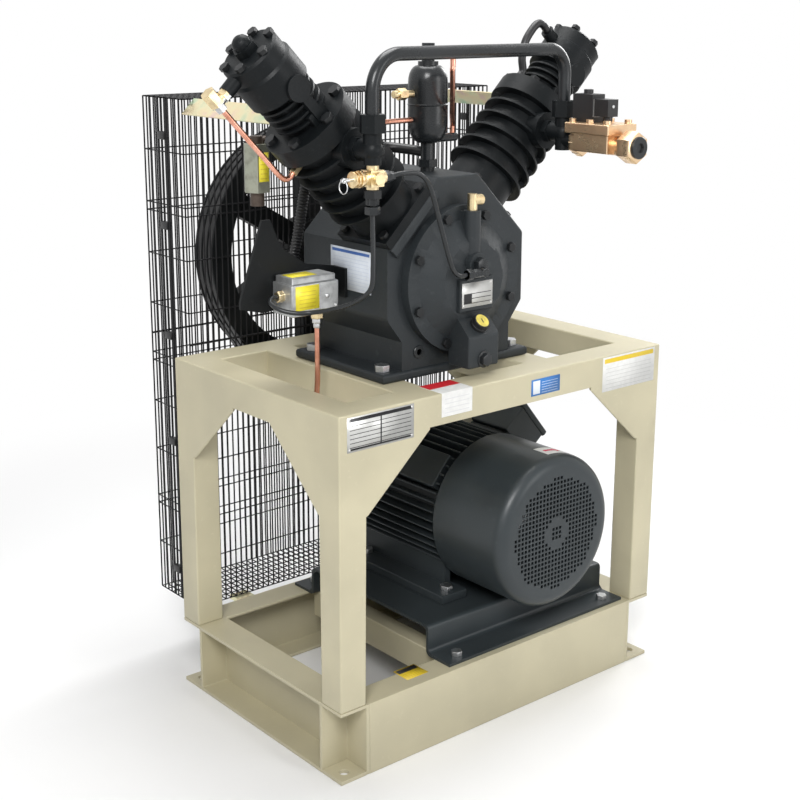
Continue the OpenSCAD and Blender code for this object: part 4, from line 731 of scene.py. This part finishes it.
# %% Motor plate
BEND = 14 * MM
BEND_R = BEND * 0.6
LONG_SHARE = 0.9
bm = welded(nodes["motor_base_plate"].data)
plate_lo, plate_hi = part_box("motor_base_plate")
plate_long = (plate_hi.x - plate_lo.x) * LONG_SHARE
bends = [edge for edge in bm.edges if abs(edge.verts[0].co.x - edge.verts[1].co.x) > plate_long
         and abs(edge.verts[0].co.y) < plate_hi.y - BEND and edge.calc_face_angle(0) > CORNER]
bevel(bm, bends, BEND_R, 4)
tray = to_piece("motor_base_plate_skin", bm, "motor_paint", "frame", False)
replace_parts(tray, "motor_base_plate")
soften(tray, CASE_EDGE)
print("bends rounded:", len(bends))

# %% [markdown]
# Tubes and hoses follow the same routes as their solids: a smooth line through a few points. A poly curve
# with a round bevel is the plainest tube there is. Each curve is then turned into a mesh.

# %% Tubes along routes
TUBE_STEPS = 8


def smooth(route, count=TUBE_STEPS):
    """points of a smooth line through the route, so many from one of its points to the next"""
    points = [Vector(p) * MM for p in route]
    line = []
    for i in range(len(points) - 1):
        a, b, c, d = points[max(i - 1, 0)], points[i], points[i + 1], points[min(i + 2, len(points) - 1)]
        curl = a - 2.5 * b + 2 * c - d / 2
        twist = 1.5 * b - 1.5 * c + (d - a) / 2
        for k in range(count):
            t = k / count
            line.append(b + t * ((c - a) / 2 + t * (curl + t * twist)))
    return line + [points[-1]]


def tubes(name, lines, r, finish, node=None, swell=None):
    """round tubes along lines of points as one piece, which replaces a node if one is named"""
    curve = bpy.data.curves.new(name, "CURVE")
    curve.dimensions = "3D"
    curve.bevel_depth = r * MM
    curve.bevel_resolution = 4
    curve.use_fill_caps = True
    for line in lines:
        spline = curve.splines.new("POLY")
        spline.points.add(len(line) - 1)
        for i, (knot, p) in enumerate(zip(spline.points, line)):
            knot.co = (*p, 1)
            knot.radius = swell(i) if swell else 1.0
    holder = placed(name + "_line", curve)
    data = evaluated(holder)
    bpy.data.objects.remove(holder)
    piece = link(name, data, finish, body_of.get(node, "frame"))
    if node:
        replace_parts(piece, node)


print("tube tools ready")

# %% [markdown]
# Two thin black pipes leave the brass cross, one for the switch and one for the front cover, and bare copper
# tubes join the other fittings. Points on a cylinder are given along its sloping bank.

# %% Control pipes and copper tubes
ROOT2 = math.sqrt(2)
CONTROL_R, COPPER_R = 4.3, 5
LEFT_BANK_Y, RIGHT_BANK_Y = -90, -40
CROSS = Vector((-301, -215, 1075))
crank_mm = crank_axis / MM


def on_bank(side, y, route):
    """points given as (out, along the cylinder) on the left or right bank, in millimetres"""
    return [(crank_mm.x + side * (t + out) / ROOT2, y, crank_mm.z + (t - out) / ROOT2) for out, t in route]


switch_route = [(-301, -215, 1031), (-301, -215, 1017), (-303, -218, 990), (-308, -225, 930), (-312, -222, 886),
                (-318, -180, 856), (-328, -130, 838), (-340, -95, 829), (-365, -78, 828), (-386, -58, 834),
                (-391, -38, 844), (-380, -30, 850), (-372, -30, 850)]
cover_route = [(-277, -215, 1075), (-263, -215, 1075), (-240, -221, 1079), (-208, -227, 1076),
               (-185, -229, 1052), (-160, -229, 985), (-134, -227, 915), (-117, -223, 892), (-103, -222, 885),
               (-89, -222, 885)]
tubes("control_pipe_runs", [smooth(switch_route), smooth(cover_route)], CONTROL_R, "black_pipe",
      "control_pipes")
drain_route = [(-283, -30, 799), (-283, -30, 770), (-284, -31, 690), (-290, -34, 640), (-296, -40, 590),
               (-300, -60, 560)]
loop_route = [(-105, -196, 1266), (-105, -196, 1252), (-103, -193, 1246), (-60, -146, 1206), (-10, -90, 1161),
              (16, -63, 1140), (18, -60, 1133), (18, -60, 1123)]
stage_route = on_bank(-1, LEFT_BANK_Y, [(102, 561), (103, 520), (104, 450), (105, 403), (102, 389), (94, 383),
                                        (84, 383)])
tubes("copper_tube_runs", [smooth(drain_route), smooth(loop_route), smooth(stage_route)], COPPER_R, "copper",
      "copper_tubes")
print("pipes done")

# %% [markdown]
# Rubber hoses are thicker. The breather hose is ribbed: its points lie at an even step, four to a rib, and
# their radius swings between crest and groove. One more hose and a copper tube run to the bottle.

# %% Hoses
HEAD_HOSE_R, BREATHER_R, FOOT_HOSE_R = 8, 11, 9.5
RIB_POINTS = 4
RIB_PITCH = 6 * MM
RIB_SWING = 0.09
HOSE_STEPS = 24
HOSE_OUT = 288


def even(line, pitch):
    """points at an even step along a line"""
    out = [line[0]]
    left = pitch
    for start, end in zip(line, line[1:]):
        span = (end - start).length
        while left <= span:
            out.append(start.lerp(end, left / span))
            left += pitch
        left -= span
    return out


head_route = on_bank(1, RIGHT_BANK_Y, [(-78, 549), (-94, 549), (-107, 540), (-110, 519), (-106, 490),
                                       (-90, 464), (-70, 448), (-70, 432)])
tubes("head_hose_run", [smooth(head_route)], HEAD_HOSE_R, "rubber", "head_hose")
hose_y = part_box("breather_hose")[0].y / MM
hose_start = crank_mm + Vector((-HOSE_OUT / ROOT2, 0, HOSE_OUT / ROOT2))
hose_route = [(hose_start.x, hose_y, hose_start.z), (hose_start.x, hose_y + 24, hose_start.z),
              (-250, 24, 1062), (-256, 38, 1030), (-263, 42, 985), (-274, 43, 930), (-288, 41, 885),
              (-297, 34, 866), (-300, 28, 862), (-300, 6, 862)]
ribs = even(smooth(hose_route, HOSE_STEPS), RIB_PITCH / RIB_POINTS)
tubes("breather_hose_run", [ribs], BREATHER_R, "rubber", "breather_hose",
      lambda i: 1 - RIB_SWING + RIB_SWING * math.cos(math.tau * i / RIB_POINTS))
foot_route = [(-190, -40, 1105), (-140, 0, 1102), (-87, 10, 1097), (-58, -22, 1093), (-46, -52, 1090)]
tubes("bottle_foot_hose", [smooth(foot_route)], FOOT_HOSE_R, "rubber")
side_route = [(-236, -110, 1150), (-190, -78, 1150), (-143, -62, 1150.7), (-84, -60, 1151.3)]
tubes("bottle_side_tube", [smooth(side_route)], COPPER_R, "copper")
print("hoses done, points on the ribbed one:", len(ribs))

# %% [markdown]
# Small fittings often change metal within a hand's width: a brass elbow on a grey nut, a black plug in a
# brass block, a yellow lid on a black cap. One finish per piece can still show that, because a mask from
# the place on the surface says where the second metal starts.

# %% Two metals in one piece
ZINC = ((0.60, 0.61, 0.62), 1.0, 0.36)
BLACK = ((0.012, 0.0132, 0.0143), 0.0, 0.38)
BRASS = ((0.84, 0.68, 0.41), 1.0, 0.32)
# the cap's own black, which also paints the shade of the slot in its lid
CAP_AND_SLOT_SHADE_BLACK = ((0.014, 0.014, 0.015), 0.0, 0.45)
LID_YELLOW = ((0.82, 0.68, 0.14), 0.0, 0.38)
FILTER_BROWN = ((0.10, 0.075, 0.06), 0.4, 0.5)
FILTER_GREEN = ((0.36, 0.37, 0.30), 0.75, 0.42)
SWITCH_GREY = ((0.50, 0.51, 0.51), 0.85, 0.46)
BANDED_GLOSS = 0.32


def banded(name, under, over, where):
    """one metal or paint under and another over, each a colour, how metallic it is and how rough"""
    made, wire = material(name, Specular_IOR_Level=BANDED_GLOSS)
    mask = where(wire)
    cloud = wire.noise(0.014)
    fine = wire.noise(0.0013, 2.0)
    shade = cloud.ramp((0.34, 0.72), (0.6, 1.0))
    layers = {0: 1.0, 6: mask.mix(under[0], over[0]), 7: shade}
    tone = wire.node("Mix", {"data_type": "RGBA", "blend_type": "MULTIPLY"}, layers, 2)
    rough = under[2] + mask * (over[2] - under[2])
    wire.feed(Base_Color=tone, Metallic=under[1] + mask * (over[1] - under[1]),
              Roughness=rough + (0.5 - cloud) * 0.3 + (fine - 0.5) * 0.15, Normal=wire.bump(fine, 0.5, 0.00006))
    return made


print("two-metal finishes can be made")

# %% [markdown]
# Each mask compares the place on the surface with a height or a distance from the solids, so that the line
# between two metals falls on a real edge: the end of a nut, the rim of a lid, the foot of a box. The slot in
# the oil cap's lid has no edge of its own: its dark is painted shade.

# %% Masks for the second metal
FOOT_BOLT_TOP = 735 * MM
NUT_FOOT, NUT_TOP = 545 * MM, 574.8 * MM
CAP_PLACE = mm(-45, -208, 783)
LID_R = 13.5 * MM
LID_HEIGHT = (CAP_PLACE.z - CAP_PLACE.y) / ROOT2 + 8.5 * MM
SLOT_HALF_W, SLOT_HALF_L = 1.3 * MM, 4.5 * MM
CROSS_FOOT = (CROSS.z - 19) * MM
FILTER_FOOT, FILTER_TOP = 1030 * MM, 1116.5 * MM
SWITCH_FOOT, SWITCH_LEFT = 815.5 * MM, -360.5 * MM


def on_nut(wire):
    """on the plated nut of the elbow, between two heights out along the left bank"""
    height = ((crank_axis.x - wire.axis("X")) + (wire.axis("Z") - crank_axis.z)) * (1 / ROOT2)
    return (height < NUT_TOP) * (height > NUT_FOOT)


def in_lid(wire):
    """inside the round lid on top of the sloping oil cap, but not in its slot, which keeps the cap's black as
    painted shade
    """
    side = wire.axis("X") - CAP_PLACE.x
    slope = (wire.axis("Y") + wire.axis("Z")) * (1 / ROOT2) - (CAP_PLACE.y + CAP_PLACE.z) / ROOT2
    height = (wire.axis("Z") - wire.axis("Y")) * (1 / ROOT2)
    # the slot is no groove in the mesh: its dark is painted shade, in the cap's black
    slot_shade = (side * side < SLOT_HALF_W ** 2) * (slope * slope < SLOT_HALF_L ** 2)
    return (side * side + slope * slope < LID_R * LID_R) * (height > LID_HEIGHT) * (1 - slot_shade)


def in_filter(wire):
    """on the filter's body, between its foot and its lid"""
    return (wire.axis("Z") > FILTER_FOOT) * (wire.axis("Z") < FILTER_TOP)


def in_switch(wire):
    """on the switch's box, not on the ports below and beside it"""
    return (wire.axis("Z") > SWITCH_FOOT) * (wire.axis("X") > SWITCH_LEFT)


finishes.update({
    "bolts": banded("bolts", BLACK, ZINC, lambda wire: wire.axis("Z") < FOOT_BOLT_TOP),
    "elbow_nut": banded("elbow_nut", BRASS, ZINC, on_nut),
    "cross": banded("cross", BRASS, BLACK, lambda wire: wire.axis("Z") < CROSS_FOOT),
    "lid": banded("lid", CAP_AND_SLOT_SHADE_BLACK, LID_YELLOW, in_lid),
    "filter_body": banded("filter_body", FILTER_BROWN, FILTER_GREEN, in_filter),
    "switch_box": banded("switch_box", BRASS, SWITCH_GREY, in_switch),
})
for name, width, finish in (("pump_bolts", 0.8, "bolts"), ("cylinder_bolts", 0.8, "bolts"),
                            ("tube_fittings", 0.9, "elbow_nut"), ("brass_cross", 1.2, "cross"),
                            ("oil_cap", 1.0, "lid"), ("intake_filter", 1.5, "filter_body"),
                            ("pressure_switch", 2.0, "switch_box"),
                            ("solenoid_coil", 1.5, "black_plastic"), ("flywheel", 1.2, "flywheel_paint"),
                            ("motor_pulley", 1.0, "flywheel_paint")):
    rounded(name, width, finish)
print("fittings finished")

# %% [markdown]
# Pipe nuts are short hexagons with chamfered corners, and collars and washers are round. Each is a short rod
# with six or more sides whose end edges are bevelled.

# %% Pipe nuts
RIM = math.radians(80)
ROUND = 24
SWITCH_PORT = (-283, -30, 800)
HUB = (-45, -222, 885)
HUB_FLANGE = (-45, -206, 897)
DRAIN = (-45, -225, 722)
VALVE_X, VALVE_Z, VALVE_END, VALVE_BACK = 211, 1105, -353, -200


def on_line(place, way, runs):
    """rods on one line: start, end and radius each, measured in millimetres from a place"""
    return [(mm(*place) + way * start * MM, mm(*place) + way * end * MM, r) for start, end, r in runs]


def nuts(name, rods, finish, sides=6, chamfer=1.4, segments=2):
    """short prisms or discs as one piece, their end edges bevelled"""
    bm = bmesh.new()
    for start, end, r in rods:
        rod(bm, start, end, r * MM, sides)
    ends = [edge for edge in bm.edges if edge.calc_face_angle(0) > RIM]
    bevel(bm, ends, chamfer * MM, segments)
    to_piece(name, bm, finish)


nuts("cross_nuts", on_line(CROSS, up, [(-26, -46, 11.8), (-48, -62, 13.5)])
     + on_line(CROSS, right, [(22, 36, 11.0), (36, 46, 8.5)]), "black_pipe")
nuts("switch_nuts", on_line(SWITCH_PORT, up, [(0, -10, 9.0), (-10, -19, 7.0)]), "steel")
nuts("hub_nuts", on_line(HUB, right, [(-44, -30, 10.5), (-30, 1, 8.2)]) + on_line(HUB, back, [(-6, 16, 9.0)])
     + on_line(HUB_FLANGE, back, [(0, -14, 14.0)]) + on_line(DRAIN, back, [(0, -11, 12.5)]),
     "black_pipe")
nuts("drain_washer", on_line(DRAIN, back, [(1, -2, 16.0)]), "black_pipe", ROUND, 0.8)
nuts("relief_collars", on_line(CROSS, right, [(-31, -24, 14.8), (-38, -34, 14.0), (-44, -41, 14.0)]),
     "brass", ROUND, 0.8)
nuts("valve_nuts", on_line((VALVE_X, VALVE_END, VALVE_Z), back, [(-1, 30, 30)])
     + on_line((VALVE_X, VALVE_BACK, VALVE_Z), back, [(-20, -0.5, 27)]), "bronze", 6, 3)
print("nuts done")

# %% [markdown]
# Two openings are closed by round plugs with a socket for a key. A plug is turned on a lathe, so its profile
# is spun, as for the drum.

# %% Socket plugs
PLUG_SIDES = 48
PLUG_FLOOR = 2


def socket_plug(name, centre, r, key, rise):
    """a round plug on a front face with a key socket sunk into it"""
    floor_at = rise - PLUG_FLOOR
    outline = [(0, floor_at), (key, floor_at), (key, 0), (r - 1, 0), (r, 1), (r, rise), (0, rise)]
    bm = spun([(across * MM, deep * MM) for across, deep in outline], mm(*centre), PLUG_SIDES)
    to_piece(name, bm, "black_pipe")


socket_plug("valve_plug_ring", (VALVE_X, VALVE_END - 6.5, VALVE_Z), 20.5, 9.2, 6)
socket_plug("case_plug", (-140.6, -153, 736.5), 12.5, 6, 5)
print("plugs done")

# %% [markdown]
# The coil's plug presses on a pale gasket, which shows as a line between the two. One screw holds the
# plug, and the cable's gland points down.

# %% Coil plug
PLUG_BACK, PLUG_FRONT, PLUG_BELOW_NUT = -254, -290, 33
GASKET = mm(29.2, 2, 33.2)
plug_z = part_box("solenoid_coil")[1].z / MM - PLUG_BELOW_NUT
bm = bmesh.new()
block(bm, mm(VALVE_X, PLUG_BACK - 1, plug_z), GASKET)
to_piece("plug_gasket", bm, "aluminium")
nuts("plug_screw", on_line((VALVE_X, PLUG_FRONT, plug_z + 4), back, [(1, -1.4, 3)]), "steel", ROUND, 0.4)
nuts("plug_gland", on_line((VALVE_X, PLUG_FRONT + 12, plug_z), up, [(-15, -25, 9)]), "black_plastic",
     ROUND, 1)
print("coil plug done")

# %% [markdown]
# Plates and stickers stay blank: only the fields and ruled lines that any such plate has, and no words.
# The print is drawn from the plate's UV map, so it keeps to the plate however the plate lies.

# %% Print
RULE_SHARE = 0.16


def printed(name, ground, fields, rules=None, metallic=0.0, rough=0.45):
    """a ground colour, fields (u0, u1, v0, v1, colour) and ruled lines (count, u0, u1, v0, v1, colour)"""
    made, wire = material(name, Metallic=metallic)
    uv = wire.node("TexCoord", None, None, "UV")
    u, v = (wire.node("SeparateXYZ", None, {0: uv}, letter) for letter in "XY")

    def inside(u0, u1, v0, v1):
        return (u > u0) * (u < u1) * (v > v0) * (v < v1)

    tone = wire.noise(0.012).ramp((0.3, tuple(c * 0.88 for c in ground)), (0.7, ground))
    for u0, u1, v0, v1, colour in fields:
        tone = inside(u0, u1, v0, v1).mix(tone, colour)
    if rules:
        count, u0, u1, v0, v1, colour = rules
        lines = wire.maths("FRACT", (v - v0) * (count / (v1 - v0)), 0.0) < RULE_SHARE
        tone = (lines * inside(u0, u1, v0, v1)).mix(tone, colour)
    wire.feed(Base_Color=tone, Roughness=rough + (wire.noise(0.004) - 0.5) * 0.2)
    return made


print("prints can be made")

# %% [markdown]
# A plate is a thin grid with its own UV map, laid on what carries it and given a little thickness by a
# modifier. That keeps its print in one flat map, which the six sides of a box would not.

# %% Thin plates
PLATE_T = 0.5 * MM


def thicken(piece, thickness):
    """a live thickness, outward from the surface"""
    thick = piece.modifiers.new("thick", "SOLIDIFY")
    thick.thickness = thickness
    thick.offset = 1.0


def plate(name, centre, size, finish, across=right, rising=up, bend=None, cells=1):
    """a thin plate on a surface; bend moves its points, for one that wraps round an edge or a drum"""
    bm = bmesh.new()
    bm.loops.layers.uv.verify()
    side, rise = across * size[0] * MM, rising * size[1] * MM
    out = side.cross(rise).normalized()
    place = Matrix((side, rise, out)).transposed().to_4x4()
    bmesh.ops.create_grid(bm, x_segments=cells, y_segments=cells, size=0.5,
                          matrix=Matrix.Translation(mm(*centre)) @ place, calc_uvs=True)
    if bend:
        for vert in bm.verts:
            vert.co = bend(vert.co)
    bmesh.ops.recalc_face_normals(bm, faces=bm.faces)
    if next(iter(bm.faces)).normal.dot(out) < 0:
        bmesh.ops.reverse_faces(bm, faces=bm.faces)
    thicken(link(name, mesh_of(name, bm), finish, "frame"), PLATE_T)


print("plate thickness:", PLATE_T)

# %% [markdown]
# Silver plates are riveted to the front rail and the cover. Coloured stickers lie on the rails, the base, the
# case and the filter. The boxes of the solids give the faces that they lie on.

# %% Blank plates and stickers
SILVER = (0.62, 0.62, 0.60)
INK = (0.02, 0.02, 0.022)
DATA_BARS = [(0.03, 0.97, 0.86, 0.96, INK), (0.03, 0.97, 0.05, 0.10, INK), (0.49, 0.51, 0.10, 0.86, INK)]
looks = {
    "data_plate": (SILVER, DATA_BARS, (6, 0.04, 0.96, 0.12, 0.86, INK), 0.6, 0.38),
    "name_plate": (SILVER, [(0.06, 0.32, 0.14, 0.56, INK)], (3, 0.06, 0.95, 0.14, 0.72, INK), 0.15, 0.42),
    "white_sheet": ((0.72, 0.77, 0.84), [(0.04, 0.96, 0.88, 0.95, (0.05, 0.13, 0.38))],
                    (9, 0.06, 0.94, 0.06, 0.84, (0.56, 0.62, 0.72))),
    "blue_label": ((0.04, 0.20, 0.55), [(0.06, 0.30, 0.1, 0.9, (0.75, 0.8, 0.85))],
                   (5, 0.36, 0.92, 0.12, 0.9, (0.7, 0.78, 0.86))),
    "pale_label": ((0.80, 0.80, 0.78), [(0.03, 0.97, 0.82, 0.95, (0.72, 0.52, 0.03))],
                   (6, 0.06, 0.94, 0.08, 0.76, (0.60, 0.60, 0.58))),
    "yellow_label": ((0.80, 0.58, 0.03), [(0.05, 0.95, 0.62, 0.93, INK)],
                     (4, 0.10, 0.90, 0.1, 0.55, (0.45, 0.32, 0.03))),
    "red_white_label": ((0.82, 0.82, 0.80), [(0.0, 1.0, 0.72, 1.0, (0.62, 0.02, 0.03))],
                        (4, 0.1, 0.9, 0.06, 0.38, (0.66, 0.66, 0.66))),
    "plain_yellow": ((0.98, 0.84, 0.05), [], (5, 0.15, 0.85, 0.1, 0.9, (0.70, 0.52, 0.04))),
    "white_vinyl": ((0.80, 0.80, 0.79), []),
    "red_ink": ((0.62, 0.02, 0.08), []),
}
finishes.update({name: printed(name, *look) for name, look in looks.items()})
FRONT_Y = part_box("table_long_rails")[0].y / MM
TOP_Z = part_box("table_long_rails")[1].z / MM
BASE_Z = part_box("base_beams")[1].z / MM
COVER_Y = -204
plate("frame_data_plate", (-322, FRONT_Y, 652), (148, 62), "data_plate")
plate("blue_field_label", (81, FRONT_Y, 658), (77, 32), "blue_label")
plate("pale_field_label", (319, FRONT_Y, 650), (155, 70), "pale_label")
plate("base_label", (-212, -217, BASE_Z), (51, 42), "yellow_label", rising=back)
plate("case_sheet", (-215, -44, 884), (120, 78), "white_sheet", across=-back)
plate("cover_name_plate", (-45, COVER_Y, 842), (76, 46), "name_plate")
plate("filter_patch", (-358, 22.9, 1076), (21, 52), "plain_yellow")
print("plates laid")

# %% [markdown]
# Two stickers don't lie flat. One folds over the edge of the front rail, and the turning arrow follows the
# drum of the fan cover. Both start as a flat grid with enough cells to bend, and a small function moves its
# points onto the surface. The arrow itself is a flat outline, bent the same way and thickened.

# %% Stickers that bend
FOLD_SIDE = 44
FOLD_TOP = 62
FOLD_LONG = FOLD_SIDE + FOLD_TOP
DRUM_CELLS = 16


def over_edge(point):
    """the part of the strip above the rail's top edge folds back onto the top"""
    past = point.z - TOP_Z * MM
    return Vector((point.x, FRONT_Y * MM + past, TOP_Z * MM)) if past > 0 else point


plate("rail_label", (-146, FRONT_Y, TOP_Z - FOLD_SIDE + FOLD_LONG / 2), (74, FOLD_LONG),
      "red_white_label", bend=over_edge, cells=FOLD_LONG)


def on_drum(point, lift=0.0):
    """wraps a flat sheet above the drum down onto it, keeping its length round the drum"""
    angle = (point.x - motor_axis.x) / drum_r
    r = drum_r + lift
    return Vector((motor_axis.x + r * math.sin(angle), point.y, motor_axis.z + r * math.cos(angle)))


ARROW_AT = Vector((128, -240, 516))
plate("turn_sticker", ARROW_AT, (62, 40), "white_vinyl", rising=back, bend=on_drum,
      cells=DRUM_CELLS)
bm = bmesh.new()
outline = [(-22, -4), (8, -4), (8, -9), (24, 0), (8, 9), (8, 4), (-22, 4)]
verts = [bm.verts.new(mm(ARROW_AT.x + u, ARROW_AT.y + v, ARROW_AT.z)) for u, v in outline]
bm.faces.new(verts)
bmesh.ops.triangulate(bm, faces=bm.faces[:])
bmesh.ops.subdivide_edges(bm, edges=bm.edges[:], cuts=3, use_grid_fill=True)
for vert in bm.verts:
    vert.co = on_drum(vert.co, PLATE_T)
bmesh.ops.recalc_face_normals(bm, faces=bm.faces)
if sum(face.normal.z for face in bm.faces) < 0:
    bmesh.ops.reverse_faces(bm, faces=bm.faces[:])
thicken(to_piece("turn_arrow", bm, "red_ink", outward=False), PLATE_T / 2)
print("bent stickers laid")

# %% [markdown]
# The switch box has a yellow sheet on its front and on its lid, and screws hold the lid and the plates.

# %% Switch details and small screws
SWITCH_Y = -60
SCREW_SIDES = 16
DOME_SHARE = 0.7
lid_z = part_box("pressure_switch")[1].z / MM
plate("switch_front_patch", (-326, SWITCH_Y, 848), (52, 44), "plain_yellow")
plate("switch_lid_patch", (-322, -30, lid_z), (54, 34), "plain_yellow", rising=back)


def screws(name, places, r, rise, finish="steel"):
    """round-headed screws at places in millimetres, standing out to the front"""
    heads = [head for place in places for head in on_line(place, back, [(rise, -rise, r)])]
    nuts(name, heads, finish, SCREW_SIDES, rise * DOME_SHARE, segments=3)


screws("switch_screws", [(-282, SWITCH_Y, 846), (-262, SWITCH_Y, 826)], 4.5, 2.5)
screws("data_plate_rivets", [(x, FRONT_Y, z) for x in (-391, -253) for z in (626, 678)], 2.2, 1.4, "aluminium")
screws("name_plate_rivets", [(x, COVER_Y, z) for x in (-79, -11) for z in (823, 861)], 1.8, 1.2, "aluminium")
print("screws set")

# %% [markdown]
# The looks must not make the object larger.

# %% Finish
print("pieces done")
